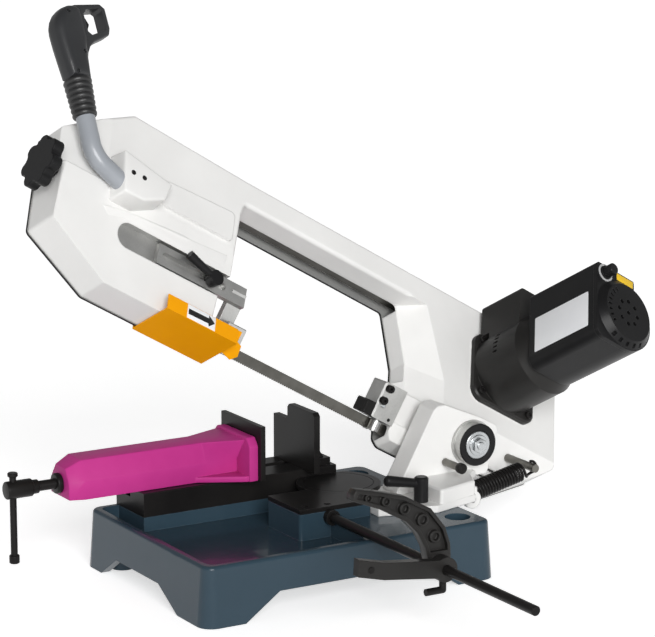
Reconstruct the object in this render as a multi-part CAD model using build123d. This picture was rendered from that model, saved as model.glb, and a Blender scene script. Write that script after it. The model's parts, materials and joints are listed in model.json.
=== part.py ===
from build123d import *
import math
import os

# A small metal cutting band saw: a cast base with a screw vise, a mitre bracket, and a bow that
# carries the band, its two wheels, the gear motor, the guides and the handle.
# Millimetres and degrees. +X points at the bow pivot, -Y at the operator, +Z up.
# The origin is the centre of the four base bolts, on the ground.

# gaps and small sizes shared by all pieces; OVERLAP is how far joined or cut shapes run into each other
RUN_GAP = 0.3
FIT_GAP = 0.05
ROOM = 1.0
EDGE = 1.0
OVERLAP = EDGE

# base casting
BASE_LENGTH = 384.0
BASE_WIDTH = 296.0
BASE_CORNER = 18.0
BASE_DRAFT = 4.0
RIM_Z = 69.0
RIM_ROUND = 4.0
TRAY_Z = 52.0
TRAY_LEFT = -178.0
TRAY_RIGHT = 23.0
TRAY_HALF_WIDTH = 134.0
TRAY_CORNER = 9.0
BASE_WALL = 11.0
FLOOR_UNDER_Z = 46.0
TOP_UNDER_Z = 61.0
BOLT_SPACING_X = 320.0
BOLT_SPACING_Y = 224.0
BOLT_HOLE_R = 5.5
BOLT_BOSS_R = 14.0
POCKET_R = 15.0
POCKET_BOSS_R = 20.0
POCKET_FLOOR_Z = 30.0
FRONT_ARCH = [(-142, -1), (-96, 30), (96, 30), (140, -1)]
SIDE_ARCH = [(-85, -1), (-35, 24), (69, 24), (106, -1)]
TABLE_LEFT = -18.0
TABLE_RIGHT = 78.0
TABLE_FRONT = -56.0
TABLE_BACK = 20.0
TABLE_Z = 83.0
TABLE_ROUND = 4.0

# cutting table on the base
PLATE_THICK = 5.0
PLATE_INSET = 0.8
TABLE_SCREW_R = 4.0
TABLE_SCREW_SPOTS = [(-4, -42), (24, -46)]
DISC_R = 50.0
DISC_GROOVE_R = 41.0
DISC_GROOVE_DEEP = 1.0

# mitre swivel
SWIVEL_X = 85.0
SWIVEL_Y = 30.0
POST_R = 12.0
HUB_R = 36.0
HUB_TALL = 10.0
SWIVEL_PLATE_TALL = 8.5
SWIVEL_PLATE = [(82, 26), (81, -66), (150, -87), (214, -69), (228, -34), (228, 6), (121, 22)]
FOOT_Z = 95.0
FOOT = [(155, -85.5), (213, -68.5), (226, -40), (240, -30), (240, 8), (155, 8)]
FOOT_ROUND = 3.0
UPRIGHT_FRONT_Y = -24.0
UPRIGHT_BACK_Y = 8.0
UPRIGHT = [
    (130, 77), (184, 174), (190, 178), (200, 178.5), (251, 157), (272, 146), (276, 138), (261, 89), (254, 77),
]
UPRIGHT_ROUND = 4.0
BEARING_BOSS_R = 17.5
BEARING_END_Y = 21.5
ANCHOR_X = 226.0
ANCHOR_Y = -24.0
ANCHOR_Z = 64.0
ANCHOR_PIN_R = 4.0
LUG_FRONT_Y = -46.0
LUG_THICK = 8.0
LUG_R = 11.0
ROOM_RIGHT = 268.0
ROOM_Z = 87.0
STOP_PIN_X = 200.0
STOP_PIN_Z = 109.0
STOP_PIN_R = 4.5
STOP_PIN_LONG = 38.0
STOP_PIN_SEAT = 12.0
LEVER_X = 142.0
LEVER_Y = -62.0
LEVER_HUB_R = 8.5
LEVER_HUB_TALL = 30.0
LEVER_ARM_LONG = 46.0
LEVER_ROOT_R = 5.1
LEVER_TIP_R = 6.8
LEVER_TIP_ROUND = 4.2
LEVER_ARM_TURN = 168.0
LEVER_ARM_RISE = 9.0
LEVER_STUD_R = 5.0

# bow attitude, in the raised pose of the photograph
LIFT = 30.0
CANT = 35.0
BLADE_Y = 30.0
PIVOT_X = 236.0
PIVOT_Z = 128.5
PIVOT_REACH = 219.3
PIVOT_RISE = 32.4

# pivot stack
SHAFT_R = 12.0
SHAFT_FLANGE_R = 17.5
SHAFT_FLANGE_THICK = 4.0
PIVOT_DISC_R = 27.5
PIVOT_DISC_THICK = 4.0
PIVOT_RING_R = 25.5
PIVOT_RING_THICK = 12.0
PIVOT_WASHER_R = 17.0
PIVOT_WASHER_THICK = 3.0
PIVOT_HEAD_ACROSS = 19.0
PIVOT_HEAD_TALL = 7.0

# bow casting, in its own frame: a towards the motor, v up across the wheels, n out of the front
REAR_N = -16.0
FRONT_N = 38.0
BOW_OUTLINE = [
    (-306, -13), (-156, -13), (-152, 40), (-140, 62), (-133, 158), (-129, 175),
    (136, 175), (156, 100), (156, 75), (134, 62), (134, -6), (141, -13),
    (312, -13), (388, 40), (388, 150), (298, 209), (-130, 209), (-298, 214), (-386, 158), (-386, 33),
]
OUTLINE_ROUND = 6.0
FRONT_EDGE = 5.0
BEVEL_IN_N = 8.0
BEVEL_IN = [(90, 175), (138, 175), (158, 98), (158, 40), (90, 40)]
BEVEL_OUT = [(90, 175), (162, 175), (196, 80), (196, 40), (90, 40)]
HINGE_LEFT = 130.0
HINGE_Y = 26.0
SILL_Y = 18.0
SILL_W = 14.0
CREASE_V = 105.0
FACE_TILT = 6.6
FACE_RIGHT = -126.0
BOX = [(-316, 88), (-321, 138), (-256, 126), (-262, 103), (-290, 88)]
BOX_N = 57.0
CORNER_START_A = -328.0
CORNER_FALL = 15.0
BOX_HOLE_R = 4.0
BOX_HOLES = [(-305, 120), (-290, 119)]
PLATEAU = [(-252, 112), (-248, 146), (-146, 152), (-147, 112)]
PLATEAU_RISE = 4.0
POCKET_WALL_N = 13.0
WHEEL_POCKET_GAP = 2.0
BAND_CHANNEL_N = 7.5
RETURN_CHANNEL_LOW_V = 167.5
RETURN_CHANNEL_V = 187.0
CHANNEL_HALF = 7.5
COVER_OFFSET = 1.2
COVER_THICK = 4.0
COVER_SCREW_R = 4.5
COVER_SCREW_TALL = 3.0
COVER_SCREWS = [
    (-374, 36), (-372, 150), (-175, 60), (-140, 198), (140, 198), (300, 198), (376, 143), (170, 35),
]

# band and wheels
BAND_WIDE = 13.0
BAND_THICK = 0.9
WHEEL_R = 89.0
WHEEL_A = 290.0
TWIST_START = 216.0
TWIST_END = 132.0
TWIST_STEPS = 4
RIM_HALF = 7.0
FLANGE_R = 92.0
FLANGE_THICK = 3.0
RIM_DEEP = 12.0
WEB_HALF = 3.0
WHEEL_HUB_R = 24.0
WHEEL_HUB_REAR = 6.0
WHEEL_BORE_R = 12.0
WHEEL_HOLES = 5
WHEEL_HOLE_R = 14.0
WHEEL_HOLE_PCD_R = 50.0

# drive train
DRIVE_SHAFT_R = 8.0
DRIVE_GEAR_R = 27.6
DRIVE_GEAR_N = 17.0
DRIVE_GEAR_THICK = 14.0
GEAR_POCKET_GAP = 1.5
GEAR_POCKET_N = 33.0
MOTOR_A = 293.0
MOTOR_V = 131.5
PINION_R = 13.8
ROTOR_SHAFT_R = 6.0
ARMATURE_R = 28.0
ARMATURE_START = 140.0
ARMATURE_LONG = 58.0
FAN_R = 38.0
FAN_START = 204.0
FAN_THICK = 10.0

# gear motor
FLANGE_A = 289.0
FLANGE_V = 123.5
FLANGE_WIDE = 102.0
FLANGE_TALL = 94.0
FLANGE_ROUND = 16.0
MOTOR_PAD = 1.0
MOTOR_FLANGE_THICK = 8.0
FLANGE_SCREW_R = 5.0
FLANGE_SCREW_TALL = 4.0
FLANGE_SCREW_INSET = 11.0
GEAR_END_N = 114.0
GEAR_CASE_R = 50.5
GEAR_CASE_V = 128.0
NOSE_R = 41.0
NOSE_END_N = 130.0
BOX_LEFT_A = 248.0
BOX_RIGHT_A = 336.0
BOX_LOW_V = 150.0
BOX_TOP_V = 210.0
BOX_ROUND = 7.0
BOX_END_N = 111.0
VENT_COUNT = 5
VENT_START = 153.0
VENT_STEP = 7.5
VENT_N = 76.0
VENT_WIDE = 2.8
VENT_LONG = 7.0
VENT_DEEP = 5.0
BARREL_R = 46.0
BARREL_TOP_V = 187.0
BARREL_BOX_A = 311.0
BARREL_CORNER = 14.0
BARREL_TOP_CORNER = 4.0
BARREL_END_N = 236.0
BARREL_WALL = 6.0
CAP_PLATE = 6.0
CAP_R = 45.0
CAP_FACE_R = 37.0
CAP_DOME = 8.0
CAP_WALL = 3.0
CAP_HOLLOW_R = 34.0
CAP_HOLE_R = 2.7
CAP_HOLE_PCD_R = 15.5
CAP_HOLES = 8
CAP_SLOTS = 8
CAP_SLOT_START = 130.0
CAP_SLOT_STEP = 13.0
CAP_SLOT_R = 31.0
CAP_SLOT_LONG = 5.5
CAP_SLOT_WIDE = 2.6
CAP_NOTCHES = 5
CAP_NOTCH_START = 242.0
CAP_NOTCH_STEP = 16.0
CAP_NOTCH_R = 39.0
CAP_NOTCH_WIDE = 4.5
CAP_NOTCH_LONG = 6.5
DIAL_R = 7.0
DIAL_TALL = 12.0
DIAL_RING_R = 8.5
DIAL_RING_TALL = 3.0
DIAL_A = 261.0
DIAL_V = 176.0
DIAL_STEM_R = 3.0
DIAL_STEM_LONG = 8.0
DIAL_RIBS = 12
DIAL_GROOVE_R = 0.7

# handle
TUBE_R = 11.0
TUBE_WALL = 2.0
TUBE_N = 50.0
TUBE_EXIT = (-341.0, 113.0)
TUBE_IN = 42.0
TUBE_HEADING = 20.0
GRIP_HEADING = 68.0
TUBE_BEND_R = 36.0
TUBE_STRAIGHT = 31.0
TUBE_INSERT = 24.0
BOOT_LONG = 46.0
BOOT_R = 17.5
BOOT_ROOT_R = 15.5
BOOT_RIBS = 7
BOOT_RIB_START = 0.2
BOOT_RIB_END = 0.7
BOOT_GROOVE_START = 0.9
GRIP_HALF = 17.0
GRIP_OUTLINE = [
    (-18, 46), (19, 46), (21, 84), (28, 95), (43, 100), (58, 107), (61, 116), (60, 141), (53, 146),
    (14, 140), (-8, 130), (-18, 119), (-22, 107), (-20, 80),
]
GRIP_ROUND = 5.0
GRIP_EDGE = 5.0
FINGER_WINDOW = [(26, 108), (43, 113), (46, 134), (24, 129)]
WINDOW_ROUND = 3.0
TRIGGER_HALF = 6.0
TRIGGER = [(6, 109.5), (27, 109.5), (31, 117), (27, 125), (6, 125)]
TRIGGER_WAY = 8.0

# tension slide and knob
SLIDE_LOW_V = 78.0
SLIDE_TOP_V = 106.0
SLIDE_LOW_N = 14.0
SLIDE_TOP_N = 30.0
SLIDE_LONG = 56.0
SLIDE_TRAVEL = 5.0
TENSION_V = 99.0
TENSION_N = 22.0
TENSION_SCREW_R = 5.0
TENSION_BITE = 16.0
KNOB_START_A = -387.0
KNOB_R = 32.0
KNOB_LOBES = 7
KNOB_LOBE_R = 9.0
KNOB_NOTCH_R = 8.0
KNOB_THICK = 14.0
KNOB_HUB_R = 13.0
KNOB_HUB_LONG = 9.0

# guides
RECESS_LEFT = -300.0
RECESS_Q = -50.0
RECESS_WIDE = 31.0
RECESS_DEEP = 9.0
ARM_LEFT = -241.0
ARM_RIGHT = -112.0
ARM_WIDE = 25.0
ARM_THICK = 7.0
ARM_SLOT_LEFT = -235.0
ARM_SLOT_RIGHT = -142.0
ARM_SLOT_WIDE = 9.0
LEG_LEFT = -132.0
LEG_RIGHT = -112.0
LEG_LOW_W = 12.0
LEG_TOP_W = 66.0
LEG_BACK_Y = 45.0
LEG_FRONT_Y = 36.5
UPPER_BLOCK_LEFT = -130.0
UPPER_BLOCK_RIGHT = -104.0
UPPER_BLOCK_LOW_W = 8.0
UPPER_BLOCK_TOP_W = 30.0
UPPER_BLOCK_FRONT_Y = 16.0
LOWER_BLOCK_LEFT = 101.0
LOWER_BLOCK_RIGHT = 134.0
LOWER_BLOCK_LOW_W = 8.0
LOWER_BLOCK_TOP_W = 53.0
LOWER_BLOCK_FRONT_Y = 16.0
LOWER_BLOCK_BACK_Y = 46.0
CLAMP_LEFT = 87.0
CLAMP_LOW_W = 8.0
CLAMP_TOP_W = 25.0
CLAMP_FRONT_Y = 17.0
CLAMP_BACK_Y = 40.0
ROLLER_R = 7.0
ROLLER_HALF = 6.0
ROLLER_PIN_R = 3.0
UPPER_ROLLER_A = -117.0
LOWER_ROLLER_A = 115.0
GUIDE_LEVER_A = -164.0
GUIDE_LEVER_HUB_R = 9.0
GUIDE_LEVER_HUB_TALL = 12.0
GUIDE_LEVER_LONG = 42.0
GUIDE_LEVER_ROOT_R = 4.0
GUIDE_LEVER_TIP_R = 5.4
GUIDE_LEVER_TURN = 163.0
GUIDE_STUD_R = 4.0
GUIDE_STUD_DEEP = 8.0
GUARD_LEFT = -227.0
GUARD_RIGHT = -126.0
GUARD_V = -16.2
GUARD_THICK = 1.5
GUARD_REAR_N = -23.0
GUARD_FRONT_N = 40.0
GUARD_LIP_V = 3.0
GUARD_REAR_LIP_V = -5.0
GUARD_WEB_LOW_W = 13.0
GUARD_WEB_TOP_W = 25.5
GUARD_FOOT_RIGHT = -110.0

# vise
BED_LEFT = -153.0
BED_RIGHT = 106.0
BED_FRONT = 70.0
BED_BACK = 140.0
BED_Z = 97.5
BED_SLOT_HALF = 6.0
BED_SLOT_DEEP = 11.0
BED_SLOT_RIGHT = 64.0
SCREW_Y = 110.0
SCREW_Z = 113.7
SCREW_R = 6.0
NUT_X = -125.0
NUT_HALF_LONG = 10.0
NUT_HALF_WIDE = 12.0
NUT_TOP_Z = 124.0
CARRIAGE_LEFT = -240.0
CARRIAGE_RIGHT = -12.0
CARRIAGE = [(80, 97.8), (80, 120), (92, 142), (124, 143), (140, 121), (140, 97.8)]
CARRIAGE_HOLLOW = [(86, 90), (86, 118), (95, 136), (121, 136.5), (134, 119), (134, 90)]
CARRIAGE_ROUND = 5.0
CARRIAGE_END = 7.0
FLARE_START = -62.0
FLARE_HEAD = [(50, 97.8), (50, 136), (60, 150), (128, 150), (140, 138), (140, 97.8)]
CARRIAGE_SOLID = -34.0
KEEL_LOW_Z = 88.0
SIDE_POCKET = [(-226, 103), (-226, 116), (-84, 116), (-84, 103)]
SIDE_POCKET_DEEP = 3.0
COLLAR_R = 14.0
COLLAR_LONG = 13.0
NECK_R = 12.0
HEAD_R = 15.0
HEAD_LEFT = -308.0
HEAD_RIGHT = -266.0
SCREW_TIP_X = -40.0
BAR_X = -299.0
BAR_R = 4.0
BAR_LOW_Z = 27.0
BAR_KNOB_R = 6.0
BAR_KNOB_TALL = 10.0
MOVING_JAW_THICK = 6.0
MOVING_JAW_FRONT = 44.0
MOVING_JAW_BACK = 140.0
MOVING_JAW_LOW_Z = 99.0
MOVING_JAW_TOP_Z = 164.0
JAW_SCREW_R = 4.5
JAW_SCREW_TALL = 3.0
JAW_SCREW_SPOTS = [(66, 122), (122, 122)]
FIXED_JAW_X = 60.0
FIXED_JAW_THICK = 8.0
FIXED_JAW = [
    (44, BED_Z), (44, 167), (48, 171), (103, 171), (107, 167), (107, 156), (111, 152), (140, 152),
    (140, BED_Z),
]
FIXED_FOOT_THICK = 9.0
FIXED_FOOT_FRONT = 74.0
FIXED_FOOT_RIGHT = 100.0
GUSSET_RISE = 42.0
GUSSET_RUN = 26.0
GUSSET_THICK = 8.0
GUSSET_YS = [84.0, 126.0]
FIXED_BOLT_R = 6.0
FIXED_BOLT_TALL = 6.0
FIXED_BOLT_X = 88.0
FIXED_BOLT_YS = [98.0, 112.0]

# material stop
STOP_X = 21.7
STOP_Z = 76.0
STOP_R = 5.5
STOP_SEAT = 36.0
STOP_END_Y = -468.0
STOP_NUT_R = 9.0
STOP_NUT_LONG = 8.0
STOP_HUB_Y = -300.0
STOP_HUB_LONG = 15.0
STOP_HUB_R = 14.0
STOP_FINGER = [(4, 10), (-78, 20), (-110, 28), (-111, 9), (-79, 1), (4, -10)]
STOP_FINGER_THICK = 11.0
STOP_TIP_SCREW_R = 3.5
STOP_TIP_SCREW_LONG = 18.0
STOP_TIP = (-95.0, 14.5)
STOP_ARM_LONG = 14.0
STOP_ARM_HUB_R = 14.5
STOP_ARM = [
    (-12, 6), (-26, 34), (-52, 60), (-88, 80), (-108, 84), (-106, 91),
    (-60, 88), (-22, 74), (-2, 56), (10, 36), (13, 6),
]
STOP_ARM_THICK = 10.0
STOP_ARM_POCKETS = [(-4, 26, 6.5), (-17, 48, 6.5), (-38, 66, 6), (-62, 78, 5)]
STOP_ARM_POCKET_DEEP = 4.0
STOP_LEVER_R = 4.0
STOP_LEVER_LONG = 22.0
STOP_LEVER_DROP = 10.0
STOP_LEVER_SEAT = 6.0

# counterbalance spring
SPRING_PIN_A = 317.0
SPRING_PIN_W = 39.6
SPRING_PIN_R = 5.0
SPRING_PIN_END_Y = -34.0
SPRING_R = 10.3
SPRING_WIRE_R = 1.7
SPRING_CURLS = 17
HOOK_LONG = 16.0
HOOK_GAP = 0.3

LOW = (Align.CENTER, Align.CENTER, Align.MIN)


def block(x0, x1, y0, y1, z0, z1):
    """Box between two corners."""
    return Pos((x0 + x1) / 2, (y0 + y1) / 2, (z0 + z1) / 2) * Box(x1 - x0, y1 - y0, z1 - z0)


def prism(points, z0, z1, corner=0.0):
    """Upright prism on a list of (x, y) corners, with rounded corners if asked for."""
    face = make_face(Polyline(*points, close=True))
    if corner > 0:
        face = fillet(face.vertices(), corner)
    return Pos(0, 0, z0) * extrude(face, z1 - z0, dir=(0, 0, 1))


def profile_x(points, x0, x1, corner=0.0):
    """Prism along X on a list of (y, z) corners."""
    frame = Plane(origin=(x0, 0, 0), x_dir=(0, 1, 0), z_dir=(1, 0, 0))
    return frame.location * prism(points, 0, x1 - x0, corner)


def profile_y(points, y0, y1, corner=0.0):
    """Prism along Y on a list of (x, z) corners."""
    mirrored = [(-x, z) for x, z in points]
    frame = Plane(origin=(0, y0, 0), x_dir=(-1, 0, 0), z_dir=(0, 1, 0))
    return frame.location * prism(mirrored, 0, y1 - y0, corner)


def pin(start, direction, radius, length):
    """Cylinder from a point along a direction."""
    return Plane(origin=start, z_dir=direction).location * Cylinder(radius, length, align=LOW)


def tube(start, direction, outer, inner, length):
    """Hollow cylinder from a point along a direction."""
    return pin(start, direction, outer, length) - pin(start, direction, inner, length)


def group(shapes):
    """Separate solids kept side by side in one node."""
    solids = []
    for shape in shapes:
        solids.extend(shape.solids())
    return Compound(children=solids)


nodes = {}
base_screws = []


def make_base():
    """Base casting with tray, arches, bolt bosses, table block and the riser under the vise."""
    foot = RectangleRounded(BASE_LENGTH, BASE_WIDTH, BASE_CORNER)
    body = extrude(foot, RIM_Z, taper=BASE_DRAFT)
    body = fillet(body.edges().group_by(Axis.Z)[-1], RIM_ROUND)
    tray_long = TRAY_RIGHT - TRAY_LEFT
    tray = RectangleRounded(tray_long, 2 * TRAY_HALF_WIDTH, TRAY_CORNER)
    body -= Pos((TRAY_LEFT + TRAY_RIGHT) / 2, 0, TRAY_Z) * extrude(tray, RIM_Z - TRAY_Z + OVERLAP)
    table = block(TABLE_LEFT, TABLE_RIGHT, TABLE_FRONT, TABLE_BACK, TRAY_Z - OVERLAP, TABLE_Z)
    body += fillet(table.edges().filter_by(Axis.Z), TABLE_ROUND)
    riser_back = BED_BACK - TABLE_ROUND
    body += block(BED_LEFT, TRAY_RIGHT + OVERLAP, BED_FRONT, riser_back, TRAY_Z - OVERLAP, RIM_Z)
    inner_long = BASE_LENGTH - 2 * BASE_WALL
    inner_wide = BASE_WIDTH - 2 * BASE_WALL
    inner = RectangleRounded(inner_long, inner_wide, TRAY_CORNER)
    body -= extrude(inner, FLOOR_UNDER_Z, taper=BASE_DRAFT)
    deep_left = TRAY_RIGHT + BASE_WALL
    deep_right = inner_long / 2 - BASE_WALL
    deep_half = inner_wide / 2 - BASE_WALL
    body -= block(deep_left, deep_right, -deep_half, deep_half, FLOOR_UNDER_Z - OVERLAP, TOP_UNDER_Z)
    body -= profile_y(FRONT_ARCH, -BASE_WIDTH, BASE_WIDTH)
    body -= profile_x(SIDE_ARCH, -BASE_LENGTH, BASE_LENGTH)
    hub_room = HUB_R + 2 * ROOM
    body -= pin((SWIVEL_X, SWIVEL_Y, RIM_Z), (0, 0, 1), hub_room, TABLE_Z)
    for side in (-1, 1):
        y = side * BOLT_SPACING_Y / 2
        left = (-BOLT_SPACING_X / 2, y, 0)
        right = (BOLT_SPACING_X / 2, y, 0)
        body += pin(left, (0, 0, 1), BOLT_BOSS_R, TRAY_Z - OVERLAP)
        body += pin(right, (0, 0, 1), POCKET_BOSS_R, RIM_Z - OVERLAP)
        body -= pin((right[0], y, POCKET_FLOOR_Z), (0, 0, 1), POCKET_R, RIM_Z)
        body -= pin(left, (0, 0, 1), BOLT_HOLE_R, RIM_Z)
        body -= pin(right, (0, 0, 1), BOLT_HOLE_R, RIM_Z)
    nut_room = STOP_NUT_LONG + ROOM
    body -= pin((STOP_X, TABLE_FRONT - nut_room, STOP_Z), (0, 1, 0), STOP_NUT_R + ROOM, nut_room)
    body -= pin((STOP_X, TABLE_FRONT, STOP_Z), (0, 1, 0), STOP_R, STOP_SEAT)
    return body


def make_table():
    """Black wear plate and the graduated disc round the swivel axis."""
    top = TABLE_Z + PLATE_THICK
    plate = block(
        TABLE_LEFT + PLATE_INSET, TABLE_RIGHT, TABLE_FRONT + PLATE_INSET, TABLE_BACK, TABLE_Z, top)
    plate -= pin((SWIVEL_X, SWIVEL_Y, TABLE_Z), (0, 0, 1), DISC_R + RUN_GAP, 2 * PLATE_THICK)
    screws = []
    for x, y in TABLE_SCREW_SPOTS:
        plate -= pin((x, y, TABLE_Z), (0, 0, 1), TABLE_SCREW_R, 2 * PLATE_THICK)
        screws.append(pin((x, y, TABLE_Z), (0, 0, 1), TABLE_SCREW_R, PLATE_THICK - PLATE_INSET))
    disc = pin((SWIVEL_X, SWIVEL_Y, TABLE_Z), (0, 0, 1), DISC_R, PLATE_THICK)
    groove = tube((SWIVEL_X, SWIVEL_Y, top - DISC_GROOVE_DEEP), (0, 0, 1),
                  DISC_GROOVE_R + DISC_GROOVE_DEEP, DISC_GROOVE_R, PLATE_THICK)
    disc -= groove
    disc -= block(-BASE_LENGTH, BASE_LENGTH, BED_FRONT - RUN_GAP, BASE_WIDTH, 0, top + PLATE_THICK)
    nodes["base_casting"] = make_base()
    nodes["table_plate"] = plate
    nodes["table_disc"] = disc
    base_screws.extend(screws)
    nodes["swivel_post"] = pin((SWIVEL_X, SWIVEL_Y, RIM_Z), (0, 0, 1), POST_R, TABLE_Z - RIM_Z)


def make_vise():
    """Bed, fixed jaw, nut, sliding carriage with its jaw plate, screw and T-bar."""
    bed = block(BED_LEFT, BED_RIGHT, BED_FRONT, BED_BACK, RIM_Z, BED_Z)
    slot_floor = BED_Z - BED_SLOT_DEEP
    bed -= block(BED_LEFT - OVERLAP, BED_SLOT_RIGHT, SCREW_Y - BED_SLOT_HALF, SCREW_Y + BED_SLOT_HALF,
                 slot_floor, BED_Z + OVERLAP)
    bed = chamfer(bed.edges().filter_by(Axis.X).group_by(Axis.Z)[-1].sort_by(Axis.Y)[0], EDGE)
    nodes["vise_bed"] = bed

    jaw_back = FIXED_JAW_X + FIXED_JAW_THICK
    jaw = profile_x(FIXED_JAW, FIXED_JAW_X, jaw_back)
    foot_top = BED_Z + FIXED_FOOT_THICK
    jaw += block(jaw_back, FIXED_FOOT_RIGHT, FIXED_FOOT_FRONT, BED_BACK, BED_Z, foot_top)
    for y in GUSSET_YS:
        web = [(jaw_back, foot_top), (jaw_back + GUSSET_RUN, foot_top), (jaw_back, foot_top + GUSSET_RISE)]
        jaw += profile_y(web, y - GUSSET_THICK / 2, y + GUSSET_THICK / 2)
    bolts = []
    for y in FIXED_BOLT_YS:
        bolts.append(pin((FIXED_BOLT_X, y, foot_top), (0, 0, 1), FIXED_BOLT_R, FIXED_BOLT_TALL))
    nodes["fixed_jaw"] = jaw
    base_screws.extend(bolts)
    nodes["base_screws"] = group(base_screws)

    nut = block(NUT_X - NUT_HALF_LONG, NUT_X + NUT_HALF_LONG, SCREW_Y - NUT_HALF_WIDE,
                SCREW_Y + NUT_HALF_WIDE, BED_Z, NUT_TOP_Z)
    nut -= pin((NUT_X - NUT_HALF_LONG, SCREW_Y, SCREW_Z), (1, 0, 0), SCREW_R + FIT_GAP, 2 * NUT_HALF_LONG)
    nodes["vise_nut"] = nut

    body = profile_x(CARRIAGE, CARRIAGE_LEFT, CARRIAGE_RIGHT)
    body = fillet(body.edges().filter_by(Axis.X).group_by(Axis.Z)[-1], CARRIAGE_ROUND)
    near = Plane(origin=(FLARE_START, 0, 0), x_dir=(0, 1, 0), z_dir=(1, 0, 0))
    far = Plane(origin=(CARRIAGE_RIGHT, 0, 0), x_dir=(0, 1, 0), z_dir=(1, 0, 0))
    near_face = near.location * make_face(Polyline(*CARRIAGE, close=True))
    far_face = far.location * make_face(Polyline(*FLARE_HEAD, close=True))
    body += loft([near_face, far_face], ruled=True)
    body -= profile_x(CARRIAGE_HOLLOW, CARRIAGE_LEFT + CARRIAGE_END, CARRIAGE_SOLID)
    pocket = profile_y(SIDE_POCKET, CARRIAGE[0][0], CARRIAGE[0][0] + SIDE_POCKET_DEEP)
    body -= pocket
    body -= pin((CARRIAGE_LEFT, SCREW_Y, SCREW_Z), (1, 0, 0), SCREW_R + FIT_GAP, CARRIAGE_END)
    keel_right = CARRIAGE_RIGHT - MOVING_JAW_THICK
    keel_half = BED_SLOT_HALF - RUN_GAP
    keel_bottom = CARRIAGE[0][1]
    body += block(CARRIAGE_SOLID, keel_right, SCREW_Y - keel_half, SCREW_Y + keel_half,
                  KEEL_LOW_Z, keel_bottom + OVERLAP)
    nodes["vise_carriage"] = body

    plate_back = CARRIAGE_RIGHT + MOVING_JAW_THICK
    plate = block(CARRIAGE_RIGHT, plate_back, MOVING_JAW_FRONT, MOVING_JAW_BACK,
                  MOVING_JAW_LOW_Z, MOVING_JAW_TOP_Z)
    screws = []
    for y, z in JAW_SCREW_SPOTS:
        seat = (plate_back - JAW_SCREW_TALL, y, z)
        plate -= pin(seat, (1, 0, 0), JAW_SCREW_R, JAW_SCREW_TALL)
        screws.append(pin(seat, (1, 0, 0), JAW_SCREW_R, JAW_SCREW_TALL - RUN_GAP))
    nodes["moving_jaw_plate"] = plate
    nodes["jaw_screws"] = group(screws)
    collar_x = CARRIAGE_LEFT - COLLAR_LONG
    collar_at = (collar_x, SCREW_Y, SCREW_Z)
    nodes["screw_collar"] = tube(collar_at, (1, 0, 0), COLLAR_R, SCREW_R + FIT_GAP, COLLAR_LONG)

    screw = pin((HEAD_RIGHT, SCREW_Y, SCREW_Z), (1, 0, 0), SCREW_R, SCREW_TIP_X - HEAD_RIGHT)
    neck_long = collar_x - RUN_GAP - HEAD_RIGHT
    neck = pin((HEAD_RIGHT, SCREW_Y, SCREW_Z), (1, 0, 0), NECK_R, neck_long)
    head = pin((HEAD_LEFT, SCREW_Y, SCREW_Z), (1, 0, 0), HEAD_R, HEAD_RIGHT - HEAD_LEFT)
    head = chamfer(head.edges(), EDGE)
    head -= pin((BAR_X, SCREW_Y, SCREW_Z - HEAD_R), (0, 0, 1), BAR_R + FIT_GAP, 2 * HEAD_R)
    nodes["vise_screw"] = screw + neck + head

    bar_top = SCREW_Z + HEAD_R + RUN_GAP
    bar = pin((BAR_X, SCREW_Y, BAR_LOW_Z), (0, 0, 1), BAR_R, bar_top - BAR_LOW_Z)
    low = pin((BAR_X, SCREW_Y, BAR_LOW_Z), (0, 0, 1), BAR_KNOB_R, BAR_KNOB_TALL)
    high = pin((BAR_X, SCREW_Y, bar_top), (0, 0, 1), BAR_KNOB_R, BAR_KNOB_TALL / 2)
    bar += chamfer(low.edges(), EDGE)
    bar += chamfer(high.edges(), EDGE)
    nodes["vise_handle_bar"] = bar


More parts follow.
